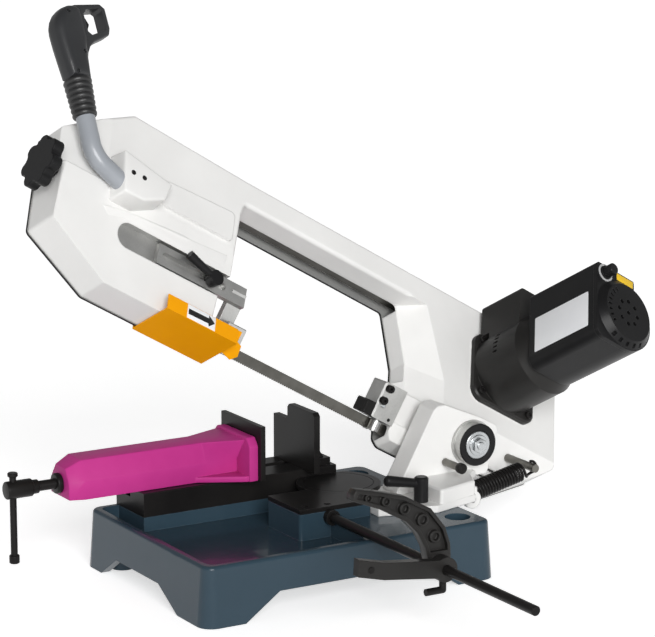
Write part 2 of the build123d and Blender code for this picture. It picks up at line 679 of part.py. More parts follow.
def make_stop():
    """Rod with its lock nut, the sliding carrier with a screw tip, the arched arm and a lever."""
    rod_long = TABLE_FRONT + STOP_SEAT - STOP_END_Y
    rod = pin((STOP_X, STOP_END_Y, STOP_Z), (0, 1, 0), STOP_R, rod_long)
    nodes["stop_rod"] = chamfer(rod.edges(), EDGE)
    nut_start = (STOP_X, TABLE_FRONT - STOP_NUT_LONG, STOP_Z)
    nodes["stop_nut"] = tube(nut_start, (0, 1, 0), STOP_NUT_R, STOP_R, STOP_NUT_LONG)

    hub = pin((STOP_X, STOP_HUB_Y, STOP_Z), (0, 1, 0), STOP_HUB_R, STOP_HUB_LONG)
    finger = [(STOP_X + x, STOP_Z + z) for x, z in STOP_FINGER]
    hub += profile_y(finger, STOP_HUB_Y, STOP_HUB_Y + STOP_FINGER_THICK)
    hub -= pin((STOP_X, STOP_HUB_Y, STOP_Z), (0, 1, 0), STOP_R + FIT_GAP, STOP_HUB_LONG)
    tip_spot = (STOP_X + STOP_TIP[0], STOP_HUB_Y - OVERLAP, STOP_Z + STOP_TIP[1])
    screw = pin(tip_spot, (0, 1, 0), STOP_TIP_SCREW_R, STOP_TIP_SCREW_LONG)
    hub -= pin(tip_spot, (0, 1, 0), STOP_TIP_SCREW_R, STOP_TIP_SCREW_LONG)
    lever_top = STOP_Z - STOP_HUB_R
    lever_y = STOP_HUB_Y + STOP_HUB_LONG / 2
    hole_at = (STOP_X, lever_y, lever_top - OVERLAP)
    hub -= pin(hole_at, (0, 0, 1), STOP_LEVER_R + FIT_GAP, STOP_LEVER_SEAT + OVERLAP)
    nodes["stop_carrier"] = hub
    nodes["stop_tip_screw"] = screw

    arm_y = STOP_HUB_Y + STOP_HUB_LONG + RUN_GAP
    arm = pin((STOP_X, arm_y, STOP_Z), (0, 1, 0), STOP_ARM_HUB_R, STOP_ARM_LONG)
    arch = [(STOP_X + x, STOP_Z + z) for x, z in STOP_ARM]
    arm += profile_y(arch, arm_y, arm_y + STOP_ARM_THICK)
    for x, z, radius in STOP_ARM_POCKETS:
        arm -= pin((STOP_X + x, arm_y, STOP_Z + z), (0, 1, 0), radius, STOP_ARM_POCKET_DEEP)
    arm -= pin((STOP_X, arm_y, STOP_Z), (0, 1, 0), STOP_R + FIT_GAP, STOP_ARM_LONG)
    nodes["stop_arm"] = arm

    stud_low = lever_top - STOP_LEVER_DROP
    stud_long = STOP_LEVER_DROP + STOP_LEVER_SEAT - RUN_GAP
    stud = pin((STOP_X, lever_y, stud_low), (0, 0, 1), STOP_LEVER_R, stud_long)
    stud += pin((STOP_X, lever_y, stud_low), (-1, 0, 0), STOP_LEVER_R, STOP_LEVER_LONG)
    nodes["stop_lever"] = stud + Pos(STOP_X, lever_y, stud_low) * Sphere(STOP_LEVER_R)


def make_swivel():
    """Mitre bracket with its hub, foot, upright, bearing boss, spring lug, stop pin and clamp lever."""
    low = RIM_Z + RUN_GAP
    body = pin((SWIVEL_X, SWIVEL_Y, low), (0, 0, 1), HUB_R, HUB_TALL)
    body += prism(SWIVEL_PLATE, low, low + SWIVEL_PLATE_TALL)
    foot = prism(FOOT, low, FOOT_Z, FOOT_ROUND)
    body += chamfer(foot.edges().group_by(Axis.Z)[-1], 2 * EDGE)
    upright = profile_y(UPRIGHT, UPRIGHT_FRONT_Y, UPRIGHT_BACK_Y, UPRIGHT_ROUND)
    upright = chamfer(upright.edges().group_by(Axis.Y)[0], EDGE)
    body += upright
    pivot_front = (PIVOT_X, UPRIGHT_FRONT_Y, PIVOT_Z)
    body += pin(pivot_front, (0, 1, 0), BEARING_BOSS_R, BEARING_END_Y - UPRIGHT_FRONT_Y)
    body -= pin(pivot_front, (0, 1, 0), SHAFT_R + FIT_GAP, BEARING_END_Y - UPRIGHT_FRONT_Y)
    body -= pin((SWIVEL_X, SWIVEL_Y, low), (0, 0, 1), POST_R + FIT_GAP, HUB_TALL)
    lug_back = LUG_FRONT_Y + LUG_THICK
    anchor = (ANCHOR_X, LUG_FRONT_Y, ANCHOR_Z)
    body += pin(anchor, (0, 1, 0), LUG_R, LUG_THICK)
    body += block(ANCHOR_X - LUG_R, ANCHOR_X + LUG_R / 2, LUG_FRONT_Y, lug_back, ANCHOR_Z, low + HUB_TALL)
    room_front = lug_back
    room_back = 2 * ANCHOR_Y - lug_back
    body -= block(ANCHOR_X - LUG_R - 2 * SPRING_R, ROOM_RIGHT, room_front, room_back, 0, ROOM_Z)
    body -= pin(anchor, (0, 1, 0), ANCHOR_PIN_R, LUG_THICK)
    stop_at = (STOP_PIN_X, UPRIGHT_FRONT_Y + STOP_PIN_SEAT, STOP_PIN_Z)
    body -= pin(stop_at, (0, -1, 0), STOP_PIN_R, STOP_PIN_LONG)
    stud_low = low + SWIVEL_PLATE_TALL / 2
    body -= pin((LEVER_X, LEVER_Y, stud_low), (0, 0, 1), LEVER_STUD_R + FIT_GAP, HUB_TALL)
    nodes["swivel_bracket"] = body
    nodes["stop_pin"] = pin(stop_at, (0, -1, 0), STOP_PIN_R, STOP_PIN_LONG + STOP_PIN_SEAT)
    anchor_long = room_back - LUG_FRONT_Y - 2 * OVERLAP
    nodes["spring_anchor"] = pin(anchor, (0, 1, 0), ANCHOR_PIN_R, anchor_long)

    hub_low = low + SWIVEL_PLATE_TALL + RUN_GAP
    lever = pin((LEVER_X, LEVER_Y, hub_low), (0, 0, 1), LEVER_HUB_R, LEVER_HUB_TALL)
    lever = chamfer(lever.edges().group_by(Axis.Z)[-1], 2 * EDGE)
    turn = math.radians(LEVER_ARM_TURN)
    rise = math.radians(LEVER_ARM_RISE)
    way = Vector(math.cos(turn) * math.cos(rise), math.sin(turn) * math.cos(rise), math.sin(rise))
    arm_z = hub_low + LEVER_HUB_TALL - LEVER_HUB_R
    arm = Plane(origin=(LEVER_X, LEVER_Y, arm_z), z_dir=way).location * Cone(
        LEVER_ROOT_R, LEVER_TIP_R, LEVER_ARM_LONG, align=LOW)
    lever += fillet(arm.edges().sort_by(Axis.X)[0], LEVER_TIP_ROUND)
    lever += pin((LEVER_X, LEVER_Y, stud_low + RUN_GAP), (0, 0, 1), LEVER_STUD_R, HUB_TALL)
    nodes["swivel_clamp_lever"] = lever


# Frames of the bow. BOW holds (a, v, n); CUT and FACE are frames inside it: CUT is turned so that
# its third axis points straight at the operator, FACE lies on the tilted front of the idle housing.
slope = math.radians(LIFT)
lean = math.radians(CANT)
tilt = math.radians(FACE_TILT)
along = Vector(math.cos(slope), 0, -math.sin(slope))
across = Vector(math.sin(slope), 0, math.cos(slope))
front = Vector(0, -1, 0) * math.cos(lean) + across * math.sin(lean)
datum = Vector(PIVOT_X, BLADE_Y, PIVOT_Z) - along * PIVOT_REACH - across * PIVOT_RISE
BOW = Plane(origin=datum, x_dir=along, z_dir=front)
CUT = Plane(origin=(0, 0, 0), x_dir=(1, 0, 0), z_dir=(0, -math.sin(lean), math.cos(lean)))
FACE = Plane(origin=(0, CREASE_V, FRONT_N), x_dir=(1, 0, 0), z_dir=(0, -math.sin(tilt), math.cos(tilt)))
BAND_IN_R = WHEEL_R + RUN_GAP
BAND_OUT_R = BAND_IN_R + BAND_THICK
WHEEL_V = BAND_IN_R + BAND_THICK / 2


def cut_block(a0, a1, w0, w1, y0, y1):
    """Box square to the blade, between two distances along it, above it and along world Y."""
    return CUT.location * block(a0, a1, w0, w1, BLADE_Y - y1, BLADE_Y - y0)


def cut_pin_y(a, w, y0, y1, radius):
    """Cylinder along world Y at a place on the blade plane."""
    return CUT.location * pin((a, w, BLADE_Y - y1), (0, 0, 1), radius, y1 - y0)


def face_block(a0, a1, q0, q1, h0, h1):
    """Box square to the tilted front of the idle housing."""
    return FACE.location * block(a0, a1, q0, q1, h0, h1)


def bow_node(name, shape):
    """Keep a piece that was drawn in the bow frame, moved to its place on the saw."""
    nodes[name] = BOW.location * shape


def handle_path():
    """Bent centre line of the handle tube and the frame of the grip at its end."""
    first = math.radians(TUBE_HEADING)
    last = math.radians(GRIP_HEADING)
    out = Vector(-math.cos(first), math.sin(first), 0)
    up = Vector(-math.cos(last), math.sin(last), 0)
    exit_at = Vector(TUBE_EXIT[0], TUBE_EXIT[1], TUBE_N)
    start = exit_at - out * TUBE_IN
    bend = Vector(math.sin(first) - math.sin(last), math.cos(first) - math.cos(last), 0) * TUBE_BEND_R
    knee = exit_at + bend
    end = knee + up * TUBE_STRAIGHT
    tail = end + up * TUBE_INSERT
    arc = Edge.make_tangent_arc(exit_at, out, knee)
    path = Wire([Edge.make_line(start, exit_at), arc, Edge.make_line(knee, tail)])
    grip = Plane(origin=end, x_dir=(math.sin(last), math.cos(last), 0), z_dir=(0, 0, 1))
    return path, start, out, grip


def make_casting():
    """Bow casting: C-shaped tray with wheel pockets, bevelled window, hinge face and bosses."""
    outline = fillet(make_face(Polyline(*BOW_OUTLINE, close=True)).vertices(), OUTLINE_ROUND)
    body = Pos(0, 0, REAR_N) * extrude(outline, FRONT_N - REAR_N, dir=(0, 0, 1))
    body = fillet(body.edges().group_by(Axis.Z)[-1], FRONT_EDGE)
    inner = Pos(0, 0, BEVEL_IN_N) * make_face(Polyline(*BEVEL_IN, close=True))
    outer = Pos(0, 0, FRONT_N) * make_face(Polyline(*BEVEL_OUT, close=True))
    body -= loft([inner, outer], ruled=True)
    far = 2 * WHEEL_A
    body -= face_block(-far, FACE_RIGHT, -far, 0, 0, far)
    corner = [(CORNER_START_A, FRONT_N), (BOW_OUTLINE[-1][0], FRONT_N + OVERLAP),
              (BOW_OUTLINE[-1][0] - OVERLAP, FRONT_N - CORNER_FALL)]
    corner_at = Plane(origin=(0, CREASE_V, 0), x_dir=(1, 0, 0), z_dir=(0, -1, 0))
    body -= corner_at.location * prism(corner, -far, 0)
    body += prism(PLATEAU, FRONT_N - PLATEAU_RISE, FRONT_N + PLATEAU_RISE, OUTLINE_ROUND)
    raised = prism(BOX, FRONT_N - 2 * PLATEAU_RISE, BOX_N, OUTLINE_ROUND)
    body += chamfer(raised.edges().group_by(Axis.Z)[-1], FRONT_EDGE / 2)
    for a, v in BOX_HOLES:
        body -= pin((a, v, BOX_N - PLATEAU_RISE), (0, 0, 1), BOX_HOLE_R, BOX_N)
    pad = extrude(RectangleRounded(FLANGE_WIDE, FLANGE_TALL, FLANGE_ROUND), OVERLAP + MOTOR_PAD)
    body += Pos(FLANGE_A, FLANGE_V, FRONT_N - OVERLAP) * pad
    body -= cut_block(HINGE_LEFT, far, SILL_W, far, -far, HINGE_Y)
    body -= cut_block(HINGE_LEFT, far, -far, SILL_W, -far, SILL_Y)

    pocket_r = FLANGE_R + WHEEL_POCKET_GAP
    deep = POCKET_WALL_N - REAR_N
    idle = SlotCenterToCenter(SLIDE_TRAVEL, 2 * pocket_r)
    body -= Pos(-WHEEL_A + SLIDE_TRAVEL / 2, WHEEL_V, REAR_N) * extrude(idle, deep, dir=(0, 0, 1))
    body -= pin((WHEEL_A, WHEEL_V, REAR_N), (0, 0, 1), pocket_r, deep)
    body -= block(-WHEEL_A, WHEEL_A, RETURN_CHANNEL_LOW_V, RETURN_CHANNEL_V, REAR_N, BAND_CHANNEL_N)
    for side in (-1, 1):
        near = side * (TWIST_END - 2 * CHANNEL_HALF)
        ends = sorted((near, side * WHEEL_A))
        body -= block(ends[0], ends[1], -CHANNEL_HALF, CHANNEL_HALF, REAR_N, 0)
        body -= pin((ends[0], 0, 0), (1, 0, 0), CHANNEL_HALF, ends[1] - ends[0])
    gear_room = DRIVE_GEAR_R + GEAR_POCKET_GAP
    body -= pin((WHEEL_A, WHEEL_V, REAR_N), (0, 0, 1), gear_room, GEAR_POCKET_N - REAR_N)
    pinion_room = PINION_R + GEAR_POCKET_GAP
    body -= pin((MOTOR_A, MOTOR_V, DRIVE_GEAR_N - GEAR_POCKET_GAP), (0, 0, 1), pinion_room, FRONT_N)
    body -= pin((WHEEL_A, WHEEL_V, REAR_N), (0, 0, 1), DRIVE_SHAFT_R + FIT_GAP, FRONT_N - OVERLAP - REAR_N)

    slide_left = -WHEEL_A - SLIDE_LONG / 2 - RUN_GAP
    slide_right = -WHEEL_A + SLIDE_LONG / 2 + SLIDE_TRAVEL + RUN_GAP
    body -= block(slide_left, slide_right, SLIDE_LOW_V - RUN_GAP, SLIDE_TOP_V + RUN_GAP,
                  REAR_N, SLIDE_TOP_N + RUN_GAP)
    screw_end = BOW_OUTLINE[-1][0] - OVERLAP
    screw_long = slide_left - screw_end + OVERLAP
    body -= pin((screw_end, TENSION_V, TENSION_N), (1, 0, 0), TENSION_SCREW_R + FIT_GAP, screw_long)

    recess_half = RECESS_WIDE / 2
    recess_low = RECESS_Q - recess_half
    recess_high = RECESS_Q + recess_half
    round_a = RECESS_LEFT + recess_half
    body -= face_block(round_a, FACE_RIGHT, recess_low, recess_high, -RECESS_DEEP, RECESS_DEEP)
    round_end = pin((round_a, RECESS_Q, -RECESS_DEEP), (0, 0, 1), recess_half, 2 * RECESS_DEEP)
    body -= FACE.location * round_end
    stud_at = (GUIDE_LEVER_A, RECESS_Q, -RECESS_DEEP - GUIDE_STUD_DEEP)
    body -= FACE.location * pin(stud_at, (0, 0, 1), GUIDE_STUD_R + FIT_GAP, GUIDE_STUD_DEEP)

    path, start, out, grip = handle_path()
    body -= pin(start, out, TUBE_R, TUBE_IN)
    body -= cut_pin_y(SPRING_PIN_A, SPRING_PIN_W, HINGE_Y - OVERLAP, HINGE_Y + SPRING_PIN_R, SPRING_PIN_R)
    bow_node("bow_casting", body)

    cover_face = offset(outline, COVER_OFFSET)
    cover_low = REAR_N - COVER_THICK
    cover = Pos(0, 0, cover_low) * extrude(cover_face, COVER_THICK, dir=(0, 0, 1))
    cover = chamfer(cover.edges().group_by(Axis.Z)[0], EDGE)
    screws = []
    for a, v in COVER_SCREWS:
        head = pin((a, v, cover_low), (0, 0, -1), COVER_SCREW_R, COVER_SCREW_TALL)
        screws.append(chamfer(head.edges().group_by(Axis.Z)[0], EDGE / 2))
    bow_node("wheel_cover", cover)
    bow_node("cover_screws", group(screws))


def band_section(a, turn):
    """Cross-section of the band at a distance along the blade, turned from flat by an angle."""
    frame = Plane(origin=(a, 0, 0), x_dir=(0, math.sin(turn), math.cos(turn)), z_dir=(1, 0, 0))
    return frame.location * Rectangle(BAND_WIDE, BAND_THICK)


def make_band():
    """Endless band: round both wheels, twisted upright between the guides, flat on the return."""
    half = BAND_WIDE / 2
    band = block(-WHEEL_A, WHEEL_A, WHEEL_V + BAND_IN_R, WHEEL_V + BAND_OUT_R, -half, half)
    for side in (-1, 1):
        hoop = tube((side * WHEEL_A, WHEEL_V, -half), (0, 0, 1), BAND_OUT_R, BAND_IN_R, BAND_WIDE)
        ends = sorted((side * WHEEL_A, side * 2 * WHEEL_A))
        band += hoop & block(ends[0], ends[1], -WHEEL_A, WHEEL_A, -half, half)
        ends = sorted((side * TWIST_START, side * WHEEL_A))
        band += block(ends[0], ends[1], -BAND_THICK / 2, BAND_THICK / 2, -half, half)
        upright = math.pi / 2 - lean
        sections = []
        for step in range(TWIST_STEPS + 1):
            share = step / TWIST_STEPS
            a = side * (TWIST_START + (TWIST_END - TWIST_START) * share)
            sections.append(band_section(a, upright * share))
        band += loft(sections, ruled=True)
    run = block(-TWIST_END, TWIST_END, -half, half, -BAND_THICK / 2, BAND_THICK / 2)
    band += CUT.location * run
    bow_node("saw_band", band)


def wheel(a):
    """Band wheel with a flange on the side of the band's back, a dished web and round windows."""
    rim_in = WHEEL_R - RIM_DEEP
    low = -RIM_HALF
    high = RIM_HALF
    top = RIM_HALF + FLANGE_THICK
    section = [
        (WHEEL_BORE_R, -WHEEL_HUB_REAR), (WHEEL_HUB_R, -WHEEL_HUB_REAR),
        (WHEEL_HUB_R + WEB_HALF, -WEB_HALF),
        (rim_in - WEB_HALF, -WEB_HALF), (rim_in, low), (WHEEL_R, low), (WHEEL_R, high), (FLANGE_R, high),
        (FLANGE_R, top), (rim_in, top), (rim_in - WEB_HALF, WEB_HALF), (WHEEL_HUB_R + WEB_HALF, WEB_HALF),
        (WHEEL_HUB_R, top), (WHEEL_BORE_R, top),
    ]
    half = make_face(Polyline(*[(r, 0, n) for r, n in section], close=True))
    body = revolve(half, Axis.Z)
    for index in range(WHEEL_HOLES):
        angle = 2 * math.pi * index / WHEEL_HOLES
        spot = (WHEEL_HOLE_PCD_R * math.cos(angle), WHEEL_HOLE_PCD_R * math.sin(angle), -RIM_HALF)
        body -= pin(spot, (0, 0, 1), WHEEL_HOLE_R, 2 * RIM_HALF)
    return Pos(a, WHEEL_V, 0) * body


def make_wheels():
    """Both wheels, the drive gear on its shaft, the motor rotor, and the idle wheel's slide and knob."""
    bow_node("drive_wheel", wheel(WHEEL_A))
    shaft_low = -WHEEL_HUB_REAR
    shaft = pin((WHEEL_A, WHEEL_V, shaft_low), (0, 0, 1), WHEEL_BORE_R, DRIVE_GEAR_N - shaft_low)
    gear_at = (WHEEL_A, WHEEL_V, DRIVE_GEAR_N)
    shaft += pin(gear_at, (0, 0, 1), DRIVE_SHAFT_R, FRONT_N - 2 * OVERLAP - DRIVE_GEAR_N)
    shaft += pin(gear_at, (0, 0, 1), DRIVE_GEAR_R, DRIVE_GEAR_THICK)
    bow_node("drive_shaft", shaft)

    axis = (MOTOR_A, MOTOR_V)
    rotor_long = FAN_START + FAN_THICK - DRIVE_GEAR_N
    rotor = pin((*axis, DRIVE_GEAR_N), (0, 0, 1), ROTOR_SHAFT_R, rotor_long)
    rotor += pin((*axis, DRIVE_GEAR_N), (0, 0, 1), PINION_R, DRIVE_GEAR_THICK)
    rotor += pin((*axis, ARMATURE_START), (0, 0, 1), ARMATURE_R, ARMATURE_LONG)
    rotor += pin((*axis, FAN_START), (0, 0, 1), FAN_R, FAN_THICK)
    bow_node("motor_rotor", rotor)

    bow_node("idle_wheel", wheel(-WHEEL_A))
    half = SLIDE_LONG / 2
    slide = block(-WHEEL_A - half, -WHEEL_A + half, SLIDE_LOW_V, SLIDE_TOP_V, SLIDE_LOW_N, SLIDE_TOP_N)
    axle_low = -WHEEL_HUB_REAR - 2 * EDGE
    slide += pin((-WHEEL_A, WHEEL_V, axle_low), (0, 0, 1), WHEEL_BORE_R - FIT_GAP, SLIDE_LOW_N - axle_low)
    nut_at = (-WHEEL_A - half, TENSION_V, TENSION_N)
    slide -= pin(nut_at, (1, 0, 0), TENSION_SCREW_R + FIT_GAP, TENSION_BITE + ROOM)
    bow_node("tension_slide", slide)
    screw_long = nut_at[0] + TENSION_BITE - KNOB_START_A
    screw = pin((KNOB_START_A, TENSION_V, TENSION_N), (1, 0, 0), TENSION_SCREW_R, screw_long)
    knob = Circle(KNOB_R - KNOB_LOBE_R / 2)
    for index in range(KNOB_LOBES):
        angle = 2 * math.pi * index / KNOB_LOBES
        reach = KNOB_R - KNOB_LOBE_R
        knob += Pos(reach * math.cos(angle), reach * math.sin(angle)) * Circle(KNOB_LOBE_R)
        angle += math.pi / KNOB_LOBES
        reach = KNOB_R + KNOB_NOTCH_R / 4
        knob -= Pos(reach * math.cos(angle), reach * math.sin(angle)) * Circle(KNOB_NOTCH_R)
    star = extrude(knob, KNOB_THICK)
    star = chamfer(star.edges().group_by(Axis.Z)[-1], EDGE)
    star_at = Plane(origin=(KNOB_START_A - KNOB_HUB_LONG, TENSION_V, TENSION_N), z_dir=(-1, 0, 0))
    hub = pin((KNOB_START_A, TENSION_V, TENSION_N), (-1, 0, 0), KNOB_HUB_R, KNOB_HUB_LONG)
    bow_node("tension_knob", star_at.location * star + hub + screw)


def barrel_section(inset):
    """Motor outline seen along its axis: round on the right, with the control box at its upper left."""
    radius = BARREL_R - inset
    left = MOTOR_A - radius
    low = MOTOR_V - radius
    right = BARREL_BOX_A - inset
    top = BARREL_TOP_V - inset
    meet = (right, MOTOR_V + math.sqrt(radius ** 2 - (right - MOTOR_A) ** 2))
    face = make_face([
        Line((left, low), (MOTOR_A, low)),
        ThreePointArc((MOTOR_A, low), (MOTOR_A + radius, MOTOR_V), meet),
        Line(meet, (right, top)),
        Line((right, top), (left, top)),
        Line((left, top), (left, low)),
    ])
    for spot, size in (((left, low), BARREL_CORNER), ((left, top), BARREL_TOP_CORNER),
                       ((right, top), BARREL_TOP_CORNER)):
        face = fillet(face.vertices().sort_by_distance(spot)[0], size)
    return face


def round_cut(middle, angle, near, far, wide, low, top):
    """Straight-sided cutter standing out from a middle line at an angle."""
    spoke = block(near, far, -wide / 2, wide / 2, low, top)
    return Pos(middle[0], middle[1], 0) * Rot(0, 0, angle) * spoke


def make_motor():
    """Gear case with its flange, motor barrel, vented end cap and speed dial."""
    low = FRONT_N + MOTOR_PAD
    flange = extrude(RectangleRounded(FLANGE_WIDE, FLANGE_TALL, FLANGE_ROUND), MOTOR_FLANGE_THICK)
    case = Pos(FLANGE_A, FLANGE_V, low) * chamfer(flange.edges().group_by(Axis.Z)[-1], 2 * EDGE)
    case += pin((FLANGE_A, GEAR_CASE_V, low), (0, 0, 1), GEAR_CASE_R, GEAR_END_N - low)
    nose = Cone(GEAR_CASE_R, NOSE_R, NOSE_END_N - GEAR_END_N, align=LOW)
    case += Pos(FLANGE_A, GEAR_CASE_V, GEAR_END_N) * nose
    top = block(BOX_LEFT_A, BOX_RIGHT_A, BOX_LOW_V, BOX_TOP_V, low + MOTOR_FLANGE_THICK / 2, BOX_END_N)
    top = fillet(top.edges().filter_by(Axis.Z), BOX_ROUND)
    case += chamfer(top.edges().group_by(Axis.Z)[0], 2 * EDGE)
    case -= pin((MOTOR_A, MOTOR_V, low), (0, 0, 1), PINION_R + GEAR_POCKET_GAP, DRIVE_GEAR_THICK)
    case -= pin((MOTOR_A, MOTOR_V, low), (0, 0, 1), ROTOR_SHAFT_R + GEAR_POCKET_GAP, NOSE_END_N)
    for index in range(VENT_COUNT):
        case -= round_cut((FLANGE_A, GEAR_CASE_V), VENT_START + VENT_STEP * index, GEAR_CASE_R - VENT_DEEP,
                          GEAR_CASE_R + OVERLAP, VENT_WIDE, VENT_N, VENT_N + VENT_LONG)
    screws = []
    for side_a in (-1, 1):
        for side_v in (-1, 1):
            a = FLANGE_A + side_a * (FLANGE_WIDE / 2 - FLANGE_SCREW_INSET)
            v = FLANGE_V + side_v * (FLANGE_TALL / 2 - FLANGE_SCREW_INSET)
            seat = (a, v, low + MOTOR_FLANGE_THICK)
            case -= pin(seat, (0, 0, 1), FLANGE_SCREW_R + ROOM, 3 * FLANGE_SCREW_TALL)
            screws.append(pin(seat, (0, 0, 1), FLANGE_SCREW_R, FLANGE_SCREW_TALL))
    bow_node("gear_case", case)
    bow_node("flange_screws", group(screws))

    axis = (MOTOR_A, MOTOR_V)
    shape = barrel_section(0)
    hollow = barrel_section(BARREL_WALL)
    barrel = Pos(0, 0, NOSE_END_N) * extrude(shape, BARREL_END_N - NOSE_END_N)
    barrel -= Pos(0, 0, NOSE_END_N + BARREL_WALL) * extrude(hollow, BARREL_END_N - NOSE_END_N)
    barrel -= pin((*axis, NOSE_END_N), (0, 0, 1), ROTOR_SHAFT_R + GEAR_POCKET_GAP, BARREL_WALL)
    bow_node("motor_barrel", barrel)

    plate_top = BARREL_END_N + CAP_PLATE
    face_n = plate_top + CAP_DOME
    cap = Pos(0, 0, BARREL_END_N) * extrude(shape, CAP_PLATE)
    cap += Pos(*axis, plate_top) * Cone(CAP_R, CAP_FACE_R, CAP_DOME, align=LOW)
    cap -= pin((*axis, BARREL_END_N), (0, 0, 1), CAP_HOLLOW_R, CAP_PLATE + CAP_DOME - CAP_WALL)
    cap -= pin((*axis, BARREL_END_N), (0, 0, 1), CAP_HOLE_R, CAP_PLATE + CAP_DOME)
    for index in range(CAP_HOLES):
        angle = 2 * math.pi * index / CAP_HOLES
        a = MOTOR_A + CAP_HOLE_PCD_R * math.cos(angle)
        v = MOTOR_V + CAP_HOLE_PCD_R * math.sin(angle)
        cap -= pin((a, v, BARREL_END_N), (0, 0, 1), CAP_HOLE_R, CAP_PLATE + CAP_DOME)
    slot_near = CAP_SLOT_R - CAP_SLOT_LONG / 2
    for index in range(CAP_SLOTS):
        cap -= round_cut(axis, CAP_SLOT_START + CAP_SLOT_STEP * index, slot_near, slot_near + CAP_SLOT_LONG,
                         CAP_SLOT_WIDE, plate_top, face_n + OVERLAP)
    for index in range(CAP_NOTCHES):
        cap -= round_cut(axis, CAP_NOTCH_START + CAP_NOTCH_STEP * index, CAP_NOTCH_R, CAP_R + OVERLAP,
                         CAP_NOTCH_WIDE, face_n - CAP_NOTCH_LONG, face_n)
    stem_low = plate_top
    cap += pin((DIAL_A, DIAL_V, stem_low - OVERLAP), (0, 0, 1), DIAL_RING_R, DIAL_RING_TALL + OVERLAP)
    cap -= pin((DIAL_A, DIAL_V, BARREL_END_N), (0, 0, 1), DIAL_STEM_R + FIT_GAP, CAP_PLATE + DIAL_RING_TALL)
    bow_node("motor_end_cap", cap)
    dial_low = stem_low + DIAL_RING_TALL + RUN_GAP
    dial = pin((DIAL_A, DIAL_V, dial_low), (0, 0, 1), DIAL_R, DIAL_TALL)
    dial = chamfer(dial.edges().group_by(Axis.Z)[-1], EDGE)
    for index in range(DIAL_RIBS):
        angle = 2 * math.pi * index / DIAL_RIBS
        spot = (DIAL_A + DIAL_R * math.cos(angle), DIAL_V + DIAL_R * math.sin(angle), dial_low + OVERLAP)
        dial -= pin(spot, (0, 0, 1), DIAL_GROOVE_R, DIAL_TALL)
    dial += pin((DIAL_A, DIAL_V, dial_low), (0, 0, -1), DIAL_STEM_R, DIAL_STEM_LONG)
    bow_node("speed_dial", dial)


def make_handle():
    """Bent tube, ribbed boot, pistol grip with its finger window, and the sliding trigger."""
    path, start, out, grip = handle_path()
    ring = Circle(TUBE_R) - Circle(TUBE_R - TUBE_WALL)
    bow_node("handle_tube", sweep(Plane(origin=start, z_dir=out).location * ring, path=path))

    pitch = BOOT_LONG / BOOT_RIBS
    edge = [(TUBE_R, 0)]
    for index in range(BOOT_RIBS):
        s = pitch * index
        edge.extend([(BOOT_ROOT_R, s), (BOOT_R, s + pitch * BOOT_RIB_START)])
        edge.extend([(BOOT_R, s + pitch * BOOT_RIB_END), (BOOT_ROOT_R, s + pitch * BOOT_GROOVE_START)])
    edge.extend([(BOOT_ROOT_R, BOOT_LONG), (TUBE_R, BOOT_LONG)])
    boot = revolve(make_face(Polyline(*edge, close=True)), Axis.Y)
    room = pin((0, 0, 0), (0, 1, 0), TUBE_R, TUBE_INSERT)
    plug = pin((0, TUBE_INSERT, 0), (0, 1, 0), TUBE_R, BOOT_LONG - TUBE_INSERT)
    bow_node("handle_boot", grip.location * (boot - room + plug))

    body = prism(GRIP_OUTLINE, -GRIP_HALF, GRIP_HALF, GRIP_ROUND)
    body = fillet(body.edges().group_by(Axis.Z)[-1] + body.edges().group_by(Axis.Z)[0], GRIP_EDGE)
    body -= prism(FINGER_WINDOW, -2 * GRIP_HALF, 2 * GRIP_HALF, WINDOW_ROUND)
    trigger = prism(TRIGGER, -TRIGGER_HALF, TRIGGER_HALF, EDGE)
    slot_low = TRIGGER[0][1] - RUN_GAP
    slot_high = TRIGGER[-1][1] + RUN_GAP
    slot_half = TRIGGER_HALF + RUN_GAP
    body -= block(TRIGGER[0][0] - TRIGGER_WAY, TRIGGER[1][0], slot_low, slot_high, -slot_half, slot_half)
    bow_node("handle_grip", grip.location * body)
    bow_node("trigger", grip.location * trigger)


def roller(a, side):
    """Guide roller beside the band, with its axis across the blade line."""
    offset_y = side * (BAND_THICK / 2 + RUN_GAP + ROLLER_R)
    frame = Plane(origin=(a, -ROLLER_HALF, offset_y), z_dir=(0, 1, 0))
    ring = Cylinder(ROLLER_R, 2 * ROLLER_HALF, align=LOW)
    ring -= Cylinder(ROLLER_PIN_R + FIT_GAP, 2 * ROLLER_HALF, align=LOW)
    return CUT.location * (frame.location * ring)


def roller_pins(a, top):
    """Two fixed pins that carry a pair of rollers under a guide block."""
    pins = None
    for side in (-1, 1):
        offset_y = side * (BAND_THICK / 2 + RUN_GAP + ROLLER_R)
        low = -ROLLER_HALF - OVERLAP
        one = CUT.location * pin((a, low, offset_y), (0, 1, 0), ROLLER_PIN_R, top - low)
        pins = one if pins is None else pins + one
    return pins


